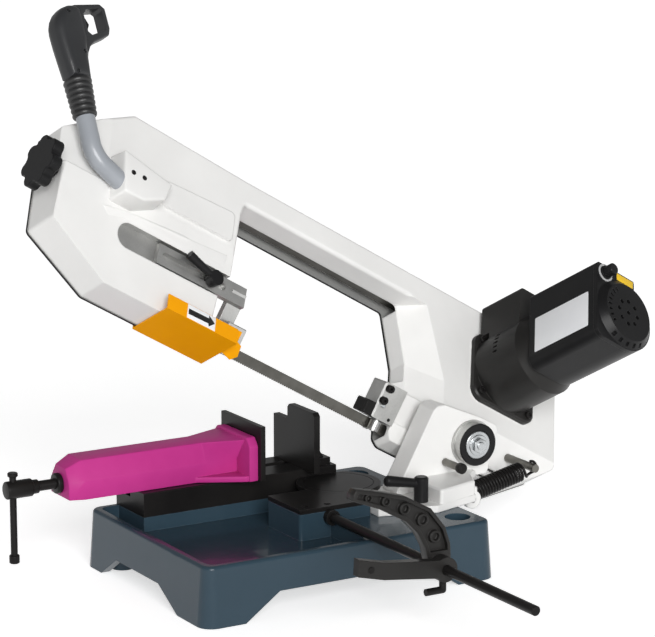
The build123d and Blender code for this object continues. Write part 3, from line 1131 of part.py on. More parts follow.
def make_guides():
    """Sliding guide arm with its block, rollers, guard and clamp lever, and the fixed lower guide."""
    half = ARM_WIDE / 2
    arm_low = -RECESS_DEEP + RUN_GAP
    arm = face_block(ARM_LEFT, ARM_RIGHT, RECESS_Q - half, RECESS_Q + half, arm_low, arm_low + ARM_THICK)
    slot_long = ARM_SLOT_RIGHT - ARM_SLOT_LEFT
    slot = SlotOverall(slot_long, ARM_SLOT_WIDE)
    slot_at = ((ARM_SLOT_LEFT + ARM_SLOT_RIGHT) / 2, RECESS_Q, arm_low)
    arm -= FACE.location * (Pos(*slot_at) * extrude(slot, ARM_THICK))
    arm += cut_block(LEG_LEFT, LEG_RIGHT, LEG_LOW_W, LEG_TOP_W, LEG_FRONT_Y, LEG_BACK_Y)
    bow_node("guide_arm", arm)

    guide = cut_block(UPPER_BLOCK_LEFT, UPPER_BLOCK_RIGHT, UPPER_BLOCK_LOW_W, UPPER_BLOCK_TOP_W,
                      UPPER_BLOCK_FRONT_Y, LEG_FRONT_Y)
    guide = chamfer(guide.edges(), EDGE)
    bow_node("upper_guide_block", guide + roller_pins(UPPER_ROLLER_A, UPPER_BLOCK_LOW_W + 2 * OVERLAP))
    bow_node("upper_roller_front", roller(UPPER_ROLLER_A, 1))
    bow_node("upper_roller_back", roller(UPPER_ROLLER_A, -1))

    lower = cut_block(LOWER_BLOCK_LEFT, LOWER_BLOCK_RIGHT, LOWER_BLOCK_LOW_W, LOWER_BLOCK_TOP_W,
                      LOWER_BLOCK_FRONT_Y, LOWER_BLOCK_BACK_Y)
    lower = chamfer(lower.edges().sort_by(Axis.X)[:4], 2 * EDGE)
    bow_node("lower_guide_block", lower + roller_pins(LOWER_ROLLER_A, LOWER_BLOCK_LOW_W + 2 * OVERLAP))
    clamp = cut_block(CLAMP_LEFT, LOWER_BLOCK_LEFT, CLAMP_LOW_W, CLAMP_TOP_W, CLAMP_FRONT_Y, CLAMP_BACK_Y)
    bow_node("lower_guide_clamp", chamfer(clamp.edges().sort_by(Axis.X)[:4], 2 * EDGE))
    bow_node("lower_roller_front", roller(LOWER_ROLLER_A, 1))
    bow_node("lower_roller_back", roller(LOWER_ROLLER_A, -1))

    hub_low = arm_low + ARM_THICK + RUN_GAP
    lever = pin((GUIDE_LEVER_A, RECESS_Q, hub_low), (0, 0, 1), GUIDE_LEVER_HUB_R, GUIDE_LEVER_HUB_TALL)
    turn = math.radians(GUIDE_LEVER_TURN)
    way = (math.cos(turn), math.sin(turn), 0)
    lever_at = (GUIDE_LEVER_A, RECESS_Q, hub_low + GUIDE_LEVER_HUB_TALL - GUIDE_LEVER_HUB_R / 2)
    lever += Plane(origin=lever_at, z_dir=way).location * Cone(
        GUIDE_LEVER_ROOT_R, GUIDE_LEVER_TIP_R, GUIDE_LEVER_LONG, align=LOW)
    stud_low = -RECESS_DEEP - GUIDE_STUD_DEEP + OVERLAP
    lever += pin((GUIDE_LEVER_A, RECESS_Q, stud_low), (0, 0, 1), GUIDE_STUD_R, hub_low - stud_low)
    bow_node("guide_clamp_lever", FACE.location * lever)

    sheet = block(GUARD_LEFT, GUARD_RIGHT, GUARD_V, GUARD_V + GUARD_THICK, GUARD_REAR_N, GUARD_FRONT_N)
    lip_n = GUARD_FRONT_N - GUARD_THICK
    sheet += block(GUARD_LEFT, GUARD_RIGHT, GUARD_V, GUARD_LIP_V, lip_n, GUARD_FRONT_N)
    rear_n = GUARD_REAR_N + GUARD_THICK
    sheet += block(GUARD_LEFT, GUARD_RIGHT, GUARD_V, GUARD_REAR_LIP_V, GUARD_REAR_N, rear_n)
    web_left = GUARD_RIGHT - GUARD_THICK
    web = cut_block(web_left, GUARD_RIGHT, GUARD_WEB_LOW_W, GUARD_WEB_TOP_W,
                    -GUARD_FRONT_N, UPPER_BLOCK_FRONT_Y)
    sheet += web & block(GUARD_LEFT, 0, GUARD_V, GUARD_FRONT_N, GUARD_REAR_N, GUARD_FRONT_N)
    sheet += cut_block(web_left, GUARD_FOOT_RIGHT, GUARD_WEB_LOW_W, GUARD_WEB_TOP_W,
                       UPPER_BLOCK_FRONT_Y - GUARD_THICK, UPPER_BLOCK_FRONT_Y)
    bow_node("blade_guard", sheet)


def make_pivot():
    """Pivot shaft through the bracket with the disc, ring, washer and bolt head in front of it."""
    axis = (0, -1, 0)
    flange_y = HINGE_Y - SHAFT_FLANGE_THICK
    shaft_front = UPRIGHT_FRONT_Y - RUN_GAP
    shaft = pin((PIVOT_X, HINGE_Y, PIVOT_Z), axis, SHAFT_FLANGE_R, SHAFT_FLANGE_THICK)
    shaft += pin((PIVOT_X, flange_y, PIVOT_Z), axis, SHAFT_R, flange_y - shaft_front)
    nodes["pivot_shaft"] = shaft
    disc = pin((PIVOT_X, shaft_front, PIVOT_Z), axis, PIVOT_DISC_R, PIVOT_DISC_THICK)
    nodes["pivot_disc"] = disc
    ring_y = shaft_front - PIVOT_DISC_THICK
    ring = tube((PIVOT_X, ring_y, PIVOT_Z), axis, PIVOT_RING_R, PIVOT_WASHER_R, PIVOT_RING_THICK)
    nodes["pivot_ring"] = chamfer(ring.edges().group_by(Axis.Y)[0], EDGE)
    washer_y = ring_y - PIVOT_RING_THICK + PIVOT_WASHER_THICK
    washer = pin((PIVOT_X, ring_y, PIVOT_Z), axis, PIVOT_WASHER_R, ring_y - washer_y + PIVOT_WASHER_THICK)
    head_y = washer_y - PIVOT_WASHER_THICK
    hexagon = extrude(RegularPolygon(PIVOT_HEAD_ACROSS / 2, 6, major_radius=False), PIVOT_HEAD_TALL)
    nodes["pivot_bolt"] = washer + Plane(origin=(PIVOT_X, head_y, PIVOT_Z), z_dir=axis).location * hexagon


def biarc(start, start_way, end, end_way):
    """Two arcs that join two points with given directions."""
    gap = end - start
    both = start_way + end_way
    spread = 2 * (1 - start_way.dot(end_way))
    reach = gap.dot(both)
    arm = (math.sqrt(reach * reach + spread * gap.dot(gap)) - reach) / spread
    first = start + start_way * arm
    second = end - end_way * arm
    middle = (first + second) * 0.5
    middle_way = (second - first).normalized()
    return [Edge.make_tangent_arc(start, start_way, middle), Edge.make_tangent_arc(middle, middle_way, end)]


def spring_point(turn, low, pitch):
    """Place and direction on the winding after a number of turns."""
    angle = math.pi + 2 * math.pi * turn
    spot = Vector(SPRING_R * math.cos(angle), SPRING_R * math.sin(angle), low + pitch * turn)
    rise = pitch / (2 * math.pi)
    way = Vector(-SPRING_R * math.sin(angle), SPRING_R * math.cos(angle), rise).normalized()
    return spot, way


def least_gap(path, wire_r):
    """Smallest clear distance of the wire to itself, measured on points along its middle."""
    count = int(path.length / wire_r)
    step = path.length / count
    spots = [path.position_at(index / count) for index in range(count + 1)]
    apart = int(math.pi * SPRING_R / step)
    least = path.length
    for index, spot in enumerate(spots):
        for other in spots[index + apart:]:
            least = min(least, (spot - other).length)
    return least - 2 * wire_r


def make_spring():
    """Counterbalance spring: one wire wound on half-turn biarcs, hooked on the anchor and the bow pin."""
    low = Vector(ANCHOR_X, ANCHOR_Y, ANCHOR_Z)
    place = BOW.location * (CUT.location * Pos(SPRING_PIN_A, SPRING_PIN_W, 0))
    high = Vector(place.position.X, ANCHOR_Y, place.position.Z)
    reach = (high - low).length
    frame = Plane(origin=low, x_dir=(0, 1, 0), z_dir=(high - low).normalized())
    pitch = (reach - 2 * HOOK_LONG) / SPRING_CURLS
    low_hook = ANCHOR_PIN_R + SPRING_WIRE_R + HOOK_GAP
    high_hook = SPRING_PIN_R + SPRING_WIRE_R + HOOK_GAP
    up = Vector(0, 0, 1)
    edges = []
    hook_start = Vector(0, -low_hook, 0)
    hook_end = Vector(0, low_hook, 0)
    spot, way = spring_point(0, HOOK_LONG, pitch)
    edges.append(Edge.make_tangent_arc(hook_start, -up, hook_end))
    edges.extend(biarc(hook_end, up, spot, way))
    for half in range(2 * SPRING_CURLS):
        after, after_way = spring_point((half + 1) / 2, HOOK_LONG, pitch)
        edges.extend(biarc(spot, way, after, after_way))
        spot = after
        way = after_way
    top_start = Vector(0, -high_hook, reach)
    top_end = Vector(0, high_hook, reach)
    edges.extend(biarc(spot, way, top_start, up))
    edges.append(Edge.make_tangent_arc(top_start, up, top_end))
    path = Wire(edges)
    print("least gap of the spring wire to itself, mm:", round(least_gap(path, SPRING_WIRE_R), 2))
    wire = sweep(Plane(origin=hook_start, z_dir=(0, 0, -1)).location * Circle(SPRING_WIRE_R), path=path)
    nodes["tension_spring"] = frame.location * wire
    carrier = cut_pin_y(SPRING_PIN_A, SPRING_PIN_W, SPRING_PIN_END_Y, HINGE_Y + SPRING_PIN_R, SPRING_PIN_R)
    bow_node("spring_pin", carrier)


make_table()
make_vise()
make_stop()
make_swivel()
make_casting()
make_band()
make_wheels()
make_motor()
make_handle()
make_guides()
make_pivot()
make_spring()

os.makedirs("parts", exist_ok=True)
for name, shape in nodes.items():
    export_step(shape, os.path.join("parts", name + ".step"))
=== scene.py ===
import json
import math

import bpy
from mathutils import Matrix, Vector


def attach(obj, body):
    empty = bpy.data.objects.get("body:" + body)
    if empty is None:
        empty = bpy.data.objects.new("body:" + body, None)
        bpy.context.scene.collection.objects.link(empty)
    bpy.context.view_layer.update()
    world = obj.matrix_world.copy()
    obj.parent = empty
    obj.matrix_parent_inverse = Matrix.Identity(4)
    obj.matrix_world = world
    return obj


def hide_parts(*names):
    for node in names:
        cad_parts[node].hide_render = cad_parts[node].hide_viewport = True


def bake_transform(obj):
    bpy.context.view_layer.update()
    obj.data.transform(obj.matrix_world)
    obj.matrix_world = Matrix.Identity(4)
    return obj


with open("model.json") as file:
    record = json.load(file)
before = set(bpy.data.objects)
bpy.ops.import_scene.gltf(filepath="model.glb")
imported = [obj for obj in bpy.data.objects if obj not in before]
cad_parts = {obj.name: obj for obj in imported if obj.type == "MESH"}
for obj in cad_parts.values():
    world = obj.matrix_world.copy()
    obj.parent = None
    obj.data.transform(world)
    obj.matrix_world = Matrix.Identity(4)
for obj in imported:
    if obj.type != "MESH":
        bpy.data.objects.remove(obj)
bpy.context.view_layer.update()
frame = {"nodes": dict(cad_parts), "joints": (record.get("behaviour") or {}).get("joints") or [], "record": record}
nodes = frame["nodes"]
record = frame["record"]
joints = {joint["name"]: joint for joint in frame["joints"]}
node_slots = {entry["node"]: entry["material_slot"] for entry in record["subparts"]}
node_bodies = {node: body for body, members in record["behaviour"]["bodies"].items() for node in members}

# sizes and places are in millimetres, and the frame is in metres
MM = 0.001
RIGHT = Vector((1.0, 0.0, 0.0))
FRONT = Vector((0.0, -1.0, 0.0))
TOP = Vector((0.0, 0.0, 1.0))

# cosine past which two directions count as one
SAME_WAY = 0.9


# places on the machine


def at(x, y, z):
    """A point of the frame."""
    return Vector((x, y, z)) * MM


def joint_axis(name):
    """Direction of a joint."""
    return Vector(joints[name]["axis"]).normalized()


def joint_place(name):
    """A point on the axis of a joint."""
    return Vector(joints[name]["pos_m"])


# length, height and front of the bow, from the joints of its guide and its drive wheel
WHEEL_A = 290
WHEEL_V = 89.75
along = joint_axis("guide_slide")
out = joint_axis("drive_spin")
upward = out.cross(along)
datum = joint_place("drive_spin") - along * (WHEEL_A * MM) - upward * (WHEEL_V * MM)


def on_bow(a, v, n):
    """A point along the bow, up it and out of it."""
    return datum + along * (a * MM) + upward * (v * MM) + out * (n * MM)


# way up the band between the guides, from the axis of a guide roller
across = joint_axis("lower_roller_front_spin")


def on_cut(a, w, f):
    """A point along the blade line, up the band and towards the operator."""
    return datum + along * (a * MM) + across * (w * MM) + FRONT * (f * MM)


# tilted front of the idle wheel's housing, square to the axis of the guide's clamp lever
face_out = joint_axis("guide_clamp_turn")
face_up = face_out.cross(along)
face_seat = on_bow(0, 105, 38)


def on_face(a, q, level):
    """A point along the housing's front, up it and out of it."""
    return face_seat + along * (a * MM) + face_up * (q * MM) + face_out * (level * MM)


# handle, with its right against the pull of the trigger
grip_seat = on_bow(-373.68, 162.09, 50)
grip_right = -joint_axis("trigger_pull")
grip_up = out.cross(grip_right)


def on_grip(p, s, n=0.0):
    """A point to the right on the grip, up it and towards its front half."""
    return grip_seat + grip_right * (p * MM) + grip_up * (s * MM) + out * (n * MM)


# lines of the vise screw and of the material stop's hub, from their joints
screw_line = joint_place("vise_screw_turn")
stop_line = joint_place("stop_swing")


def on_screw(x, rise=0.0):
    """A point on the line of the vise screw, or above it."""
    return Vector((x * MM, screw_line.y, screw_line.z + rise * MM))


def on_stop(x, y, z):
    """A point to the right of the stop's hub and above it, at a depth of the frame."""
    return Vector((stop_line.x + x * MM, y * MM, stop_line.z + z * MM))


def axes_at(spot, x_way, z_way):
    """Matrix of a piece that stands at a spot with its top towards z_way and its length towards x_way."""
    z_axis = z_way.normalized()
    y_axis = z_axis.cross(x_way).normalized()
    x_axis = y_axis.cross(z_axis)
    turned = Matrix((x_axis, y_axis, z_axis)).transposed().to_4x4()
    return Matrix.Translation(spot) @ turned


# selecting and shaping


def only(piece):
    """Leave one piece selected and active."""
    bpy.ops.object.select_all(action="DESELECT")
    piece.select_set(True)
    bpy.context.view_layer.objects.active = piece


def to_object():
    """Leave edit mode."""
    bpy.ops.object.mode_set(mode="OBJECT")


def edit_all(piece):
    """Go to edit mode with the whole piece selected."""
    only(piece)
    bpy.ops.object.mode_set(mode="EDIT")
    bpy.ops.mesh.select_all(action="SELECT")


def clear_picks(piece, kind):
    """Leave nothing of a piece selected, before its points, edges or faces are picked."""
    only(piece)
    bpy.ops.object.mode_set(mode="EDIT")
    bpy.ops.mesh.select_mode(type=kind)
    bpy.ops.mesh.select_all(action="DESELECT")
    to_object()


def pick_points(piece, wanted):
    """Go to edit mode with only those points selected that pass the test."""
    clear_picks(piece, "VERT")
    for point in piece.data.vertices:
        point.select = wanted(point.co)
    bpy.ops.object.mode_set(mode="EDIT")


def pick_edges(piece, wanted):
    """Go to edit mode with only those edges selected whose two ends pass the test."""
    clear_picks(piece, "EDGE")
    points = piece.data.vertices
    for edge in piece.data.edges:
        first = points[edge.vertices[0]].co
        second = points[edge.vertices[1]].co
        edge.select = wanted(first, second)
    bpy.ops.object.mode_set(mode="EDIT")


def pick_faces(piece, wanted):
    """Go to edit mode with only those faces selected whose middle and normal pass the test."""
    clear_picks(piece, "FACE")
    for face in piece.data.polygons:
        face.select = wanted(face.center, face.normal)
    bpy.ops.object.mode_set(mode="EDIT")


def facing(way):
    """Test for faces that look one way."""
    return lambda middle, normal: normal.dot(way) > SAME_WAY


def settle(piece, matrix):
    """Put the piece in its place, with the place in its mesh."""
    piece.matrix_world = matrix
    only(piece)
    bpy.ops.object.transform_apply(location=True, rotation=True, scale=True)


def apply_modifiers(piece):
    """Make the modifiers of a piece part of its mesh."""
    only(piece)
    for modifier in list(piece.modifiers):
        bpy.ops.object.modifier_apply(modifier=modifier.name)


def smooth(piece, degrees=32):
    """Shade a piece smooth, apart from its sharper edges."""
    only(piece)
    bpy.ops.object.shade_smooth_by_angle(angle=math.radians(degrees))


def soften(piece, width, steps=3, sharp=28):
    """Round the sharp edges of a piece."""
    edge = piece.modifiers.new("edges", "BEVEL")
    edge.width = width * MM
    edge.segments = steps
    edge.limit_method = "ANGLE"
    edge.angle_limit = math.radians(sharp)
    apply_modifiers(piece)
    smooth(piece, 35)


def drop(piece):
    """Remove a piece that has done its work."""
    bpy.data.objects.remove(piece, do_unlink=True)


def cut_away(piece, *tools):
    """Take other solids out of a piece."""
    for tool in tools:
        hollow = piece.modifiers.new("cut", "BOOLEAN")
        hollow.operation = "DIFFERENCE"
        hollow.solver = "EXACT"
        hollow.object = tool
        apply_modifiers(piece)
        drop(tool)


def outline(name, points):
    """A line drawn corner by corner."""
    bpy.ops.object.select_all(action="DESELECT")
    bpy.ops.mesh.primitive_plane_add(size=MM, location=points[0])
    piece = bpy.context.object
    piece.name = name
    bpy.ops.object.transform_apply(location=True)
    bpy.ops.object.mode_set(mode="EDIT")
    bpy.ops.mesh.select_mode(type="VERT")
    bpy.ops.mesh.select_all(action="SELECT")
    bpy.ops.mesh.merge(type="CENTER")
    for first, second in zip(points, points[1:]):
        bpy.ops.mesh.extrude_vertices_move(TRANSFORM_OT_translate={"value": second - first})
    to_object()
    return piece


def traced(name, points, pull):
    """A solid drawn as an outline, filled and pulled out."""
    piece = outline(name, points)
    edit_all(piece)
    bpy.ops.mesh.edge_face_add()
    bpy.ops.mesh.extrude_region_move(TRANSFORM_OT_translate={"value": pull})
    bpy.ops.mesh.select_all(action="SELECT")
    bpy.ops.mesh.normals_make_consistent(inside=False)
    to_object()
    return piece


def upright_bar(radius, tall, sides):
    """Round or many-sided bar that stands on the origin."""
    depth = tall * MM
    bpy.ops.object.select_all(action="DESELECT")
    bpy.ops.mesh.primitive_cylinder_add(
        vertices=sides, radius=radius * MM, depth=depth, location=(0, 0, depth / 2)
    )
    bpy.ops.object.transform_apply(location=True)
    return bpy.context.object


def round_bar(name, start, end, radius, sides=40):
    """Round or many-sided bar between two points."""
    way = end - start
    bar = upright_bar(radius, way.length / MM, sides)
    bar.name = name
    side = out if abs(way.normalized().dot(out)) < SAME_WAY else along
    settle(bar, axes_at(start, side, way))
    return bar


def copy_of(piece, name):
    """A second piece with a mesh of its own."""
    twin = piece.copy()
    twin.data = piece.data.copy()
    twin.name = name
    bpy.context.scene.collection.objects.link(twin)
    return twin


def merged_copy(node):
    """Copy of a CAD node with its points merged, free of its body."""
    piece = copy_of(nodes[node], node + "_shown")
    piece.parent = None
    edit_all(piece)
    bpy.ops.mesh.remove_doubles(threshold=2e-6)
    bpy.ops.mesh.customdata_custom_splitnormals_clear()
    to_object()
    return piece


def islands(node):
    """Points of each separate solid of a CAD node."""
    edit_all(merged_copy(node))
    bpy.ops.mesh.separate(type="LOOSE")
    to_object()
    found = []
    for piece in list(bpy.context.selected_objects):
        found.append([vertex.co.copy() for vertex in piece.data.vertices])
        drop(piece)
    return found


def join(pieces, name):
    """Make one piece of several."""
    bpy.ops.object.select_all(action="DESELECT")
    for piece in pieces:
        piece.select_set(True)
    bpy.context.view_layer.objects.active = pieces[0]
    if len(pieces) > 1:
        bpy.ops.object.join()
    pieces[0].name = name
    return pieces[0]


def finish_piece(piece, body, material):
    """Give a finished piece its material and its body."""
    piece.data.materials.clear()
    piece.data.materials.append(material)
    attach(piece, body)


def stand_in(piece, node, material):
    """Show a finished piece in the place of a hidden CAD node, on the node's body and with the given material."""
    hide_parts(node)
    finish_piece(piece, node_bodies[node], material)


# nodes of a finish

# samples of a softened edge, and heights of the grain and of the machining lines
EDGE_SAMPLES = 4
GRAIN_HEIGHT = 0.6 * MM
LINE_HEIGHT = 0.4 * MM


def add_node(tree, kind, **constants):
    """New node with constants on its sockets."""
    node = tree.nodes.new("ShaderNode" + kind)
    for label, value in constants.items():
        node.inputs[label.replace("_", " ")].default_value = value
    return node


def add_group(tree, group, **values):
    """Shared effect placed in a finish with its own values."""
    node = tree.nodes.new("ShaderNodeGroup")
    node.node_tree = group
    for label, value in values.items():
        node.inputs[label.replace("_", " ")].default_value = value
    return node


def between(tree, factor, first, second):
    """Colour that runs with a factor from the first, a colour or a socket, to the second."""
    mix = tree.nodes.new("ShaderNodeMix")
    mix.data_type = "RGBA"
    tree.links.new(factor, mix.inputs["Factor"])
    if isinstance(first, tuple):
        mix.inputs["A"].default_value = (*first, 1.0)
    else:
        tree.links.new(first, mix.inputs["A"])
    mix.inputs["B"].default_value = (*second, 1.0)
    return mix.outputs["Result"]


def spread(tree, value, low, high, start=0.3, end=0.7):
    """Value of a mask spread over another range."""
    ranged = add_node(tree, "MapRange", From_Min=start, From_Max=end, To_Min=low, To_Max=high)
    tree.links.new(value, ranged.inputs["Value"])
    return ranged.outputs["Result"]


def combine(tree, operation, first, second):
    """Two values made one, the second a socket or a number."""
    node = tree.nodes.new("ShaderNodeMath")
    node.operation = operation
    tree.links.new(first, node.inputs[0])
    if isinstance(second, float):
        node.inputs[1].default_value = second
    else:
        tree.links.new(second, node.inputs[1])
    return node.outputs["Value"]


# shared effects of the finishes


def new_group(name, inputs, outputs):
    """Node group with its inputs at their usual values, and its two ends."""
    group = bpy.data.node_groups.new(name, "ShaderNodeTree")
    for label, value in inputs:
        socket = group.interface.new_socket(label, in_out="INPUT", socket_type="NodeSocketFloat")
        socket.default_value = value
    for label, kind in outputs:
        group.interface.new_socket(label, in_out="OUTPUT", socket_type=kind)
    entry = group.nodes.new("NodeGroupInput")
    leave = group.nodes.new("NodeGroupOutput")
    return group, entry, leave


def soft_normal(group, radius):
    """Normal of the surface with its edges rounded over."""
    soft = group.nodes.new("ShaderNodeBevel")
    soft.samples = EDGE_SAMPLES
    group.links.new(radius, soft.inputs["Radius"])
    return soft.outputs["Normal"]


def relief(group, entry, height, distance):
    """Normal of a fine relief on a surface with soft edges."""
    bump = add_node(group, "Bump", Distance=distance)
    group.links.new(soft_normal(group, entry.outputs["Edge"]), bump.inputs["Normal"])
    group.links.new(height, bump.inputs["Height"])
    group.links.new(entry.outputs["Depth"], bump.inputs["Strength"])
    return bump.outputs["Normal"]


def make_grain_group():
    """Fine grain of a coat or a moulding, with a slow change of tone over it and soft edges."""
    group, entry, leave = new_group(
        "coat_grain",
        [("Grain Scale", 900.0), ("Tone Scale", 9.0), ("Depth", 0.1), ("Edge", 0.001)],
        [("Tone", "NodeSocketFloat"), ("Speck", "NodeSocketFloat"), ("Normal", "NodeSocketVector")],
    )
    link = group.links.new
    place = group.nodes.new("ShaderNodeTexCoord")
    fine = add_node(group, "TexNoise", Detail=3.0)
    slow = add_node(group, "TexNoise", Detail=4.0, Roughness=0.6)
    for noise, scale in ((fine, "Grain Scale"), (slow, "Tone Scale")):
        link(place.outputs["Object"], noise.inputs["Vector"])
        link(entry.outputs[scale], noise.inputs["Scale"])
    link(slow.outputs["Fac"], leave.inputs["Tone"])
    link(fine.outputs["Fac"], leave.inputs["Speck"])
    link(relief(group, entry, fine.outputs["Fac"], GRAIN_HEIGHT), leave.inputs["Normal"])
    return group


def make_brush_group():
    """Long fine lines of a machined or drawn metal, along one of the three axes, with soft edges."""
    group, entry, leave = new_group(
        "machine_lines",
        [("X Scale", 40.0), ("Y Scale", 900.0), ("Z Scale", 900.0), ("Depth", 0.1), ("Edge", 0.0005)],
        [("Lines", "NodeSocketFloat"), ("Stain", "NodeSocketFloat"), ("Normal", "NodeSocketVector")],
    )
    link = group.links.new
    place = group.nodes.new("ShaderNodeTexCoord")
    pull = group.nodes.new("ShaderNodeCombineXYZ")
    stretch = group.nodes.new("ShaderNodeVectorMath")
    stretch.operation = "MULTIPLY"
    lines = add_node(group, "TexNoise", Scale=1.0, Detail=2.0)
    stain = add_node(group, "TexNoise", Scale=35.0, Detail=5.0)
    for axis in "XYZ":
        link(entry.outputs[axis + " Scale"], pull.inputs[axis])
    link(place.outputs["Object"], stretch.inputs[0])
    link(pull.outputs["Vector"], stretch.inputs[1])
    link(stretch.outputs["Vector"], lines.inputs["Vector"])
    link(place.outputs["Object"], stain.inputs["Vector"])
    link(lines.outputs["Fac"], leave.inputs["Lines"])
    link(stain.outputs["Fac"], leave.inputs["Stain"])
    link(relief(group, entry, lines.outputs["Fac"], LINE_HEIGHT), leave.inputs["Normal"])
    return group


def make_wear_group():
    """Mask of rubbed edges, where the softened surface turns away from the plain one, broken by a noise."""
    group, entry, leave = new_group(
        "edge_wear",
        [("Width", 0.0012), ("Amount", 1.0), ("Break Scale", 160.0)],
        [("Wear", "NodeSocketFloat")],
    )
    link = group.links.new
    place = group.nodes.new("ShaderNodeTexCoord")
    shape = group.nodes.new("ShaderNodeNewGeometry")
    turned = group.nodes.new("ShaderNodeVectorMath")
    turned.operation = "DOT_PRODUCT"
    link(soft_normal(group, entry.outputs["Width"]), turned.inputs[0])
    link(shape.outputs["Normal"], turned.inputs[1])
    broken = add_node(group, "TexNoise", Detail=4.0)
    link(place.outputs["Object"], broken.inputs["Vector"])
    link(entry.outputs["Break Scale"], broken.inputs["Scale"])
    edge = spread(group, turned.outputs["Value"], 0.0, 1.0, start=0.97, end=0.80)
    patchy = spread(group, broken.outputs["Fac"], 0.0, 1.0, start=0.42, end=0.62)
    rubbed = combine(group, "MULTIPLY", edge, patchy)
    link(combine(group, "MULTIPLY", rubbed, entry.outputs["Amount"]), leave.inputs["Wear"])
    return group


coat_grain = make_grain_group()
machine_lines = make_brush_group()
edge_wear = make_wear_group()


# finishes


def start_material(name):
    """New material, its node tree and its shader."""
    material = bpy.data.materials.new(name)
    material.use_nodes = True
    return material, material.node_tree, material.node_tree.nodes["Principled BSDF"]


def coated(name, dark, light, rough, grain=900.0, depth=0.08, tone=9.0, coat=0.0, specular=0.5,
           worn=None, rubbed=0.5, edge=0.001):
    """Paint, powder coat or moulded plastic, with grain, a slow change of tone, soft and rubbed edges."""
    material, tree, shader = start_material(name)
    surface = add_group(tree, coat_grain, Grain_Scale=grain, Tone_Scale=tone, Depth=depth, Edge=edge)
    tone_mask = surface.outputs["Tone"]
    colour = between(tree, spread(tree, tone_mask, 0.0, 1.0), dark, light)
    if worn:
        mask = add_group(tree, edge_wear, Width=edge * 1.2, Amount=rubbed)
        colour = between(tree, mask.outputs["Wear"], colour, worn)
    gloss = spread(tree, tone_mask, rough * 0.85, rough * 1.15)
    tree.links.new(colour, shader.inputs["Base Color"])
    tree.links.new(gloss, shader.inputs["Roughness"])
    tree.links.new(surface.outputs["Normal"], shader.inputs["Normal"])
    shader.inputs["Coat Weight"].default_value = coat
    shader.inputs["Coat Roughness"].default_value = 0.06
    shader.inputs["Specular IOR Level"].default_value = specular
    return material


def metal(name, dark, light, rough, lines=(40.0, 900.0, 900.0), depth=0.1):
    """Bare metal with the lines of its machining and a faint stain."""
    material, tree, shader = start_material(name)
    x_scale, y_scale, z_scale = lines
    surface = add_group(tree, machine_lines, X_Scale=x_scale, Y_Scale=y_scale, Z_Scale=z_scale, Depth=depth)
    colour = between(tree, spread(tree, surface.outputs["Stain"], 0.0, 1.0), dark, light)
    gloss = spread(tree, surface.outputs["Lines"], rough * 0.75, rough * 1.25)
    tree.links.new(colour, shader.inputs["Base Color"])
    tree.links.new(gloss, shader.inputs["Roughness"])
    tree.links.new(surface.outputs["Normal"], shader.inputs["Normal"])
    shader.inputs["Metallic"].default_value = 1.0
    return material


def film(name, dark, light):
    """Thin film or plate with a nearly even surface."""
    return coated(name, dark, light, 0.35, depth=0.02, edge=0.0001)


finish = {
    "base_paint": coated(
        "base_gloss_paint", (0.026, 0.050, 0.070), (0.032, 0.058, 0.080), 0.24,
        grain=500.0, depth=0.03, coat=0.22, specular=0.16, worn=(0.09, 0.12, 0.14), edge=0.0016,
    ),
    "bow_paint": coated(
        "bow_powder_coat", (0.775, 0.770, 0.755), (0.83, 0.825, 0.81), 0.42,
        grain=700.0, depth=0.05, coat=0.1, worn=(0.70, 0.70, 0.69), rubbed=0.4, edge=0.0022,
    ),
    "carriage_paint": coated(
        "carriage_powder_coat", (0.44, 0.030, 0.21), (0.52, 0.042, 0.25), 0.40,
        grain=700.0, depth=0.06, specular=0.1, worn=(0.62, 0.12, 0.36), rubbed=0.4,
    ),
    "guard_paint": coated(
        "guard_satin_paint", (0.84, 0.33, 0.0), (0.92, 0.38, 0.0), 0.42,
        grain=800.0, depth=0.05, specular=0.12, worn=(0.70, 0.42, 0.12), rubbed=0.4, edge=0.0004,
    ),
    "black_steel": coated(
        "blackened_steel", (0.008, 0.0075, 0.0075), (0.014, 0.013, 0.0125), 0.34,
        grain=600.0, depth=0.06, specular=0.14, worn=(0.09, 0.09, 0.09), edge=0.0007,
    ),
    "steel": metal("bright_steel", (0.36, 0.36, 0.36), (0.50, 0.50, 0.49), 0.30),
    "band_steel": metal(
        "oiled_band_steel", (0.105, 0.102, 0.092), (0.165, 0.16, 0.147), 0.42,
        lines=(60.0, 1500.0, 60.0), depth=0.05,
    ),
    "zinc": metal(
        "zinc_plate", (0.42, 0.44, 0.45), (0.56, 0.58, 0.59), 0.24,
        lines=(160.0, 160.0, 160.0), depth=0.03,
    ),
    "bare_aluminium": metal(
        "machined_aluminium", (0.48, 0.48, 0.47), (0.60, 0.60, 0.585), 0.48,
        lines=(500.0, 700.0, 500.0), depth=0.12,
    ),
    "wheel_aluminium": metal("turned_aluminium", (0.46, 0.46, 0.46), (0.58, 0.58, 0.58), 0.36),
    "black_aluminium": coated(
        "black_cast_aluminium", (0.013, 0.0125, 0.012), (0.021, 0.020, 0.019), 0.38,
        grain=450.0, depth=0.10, specular=0.24, worn=(0.06, 0.058, 0.055), edge=0.0014,
    ),
    "black_plastic": coated(
        "black_moulded_plastic", (0.009, 0.009, 0.0095), (0.014, 0.014, 0.0145), 0.36,
        grain=1100.0, depth=0.08, specular=0.16, worn=(0.03, 0.03, 0.031), edge=0.0012,
    ),
    "boot_rubber": coated(
        "boot_rubber_matt", (0.018, 0.018, 0.0185), (0.027, 0.027, 0.0275), 0.40,
        grain=800.0, depth=0.10,
    ),
    "tube_paint": coated(
        "tube_satin_paint", (0.300, 0.318, 0.345), (0.350, 0.368, 0.395), 0.34,
        grain=700.0, depth=0.05, coat=0.15,
    ),
}
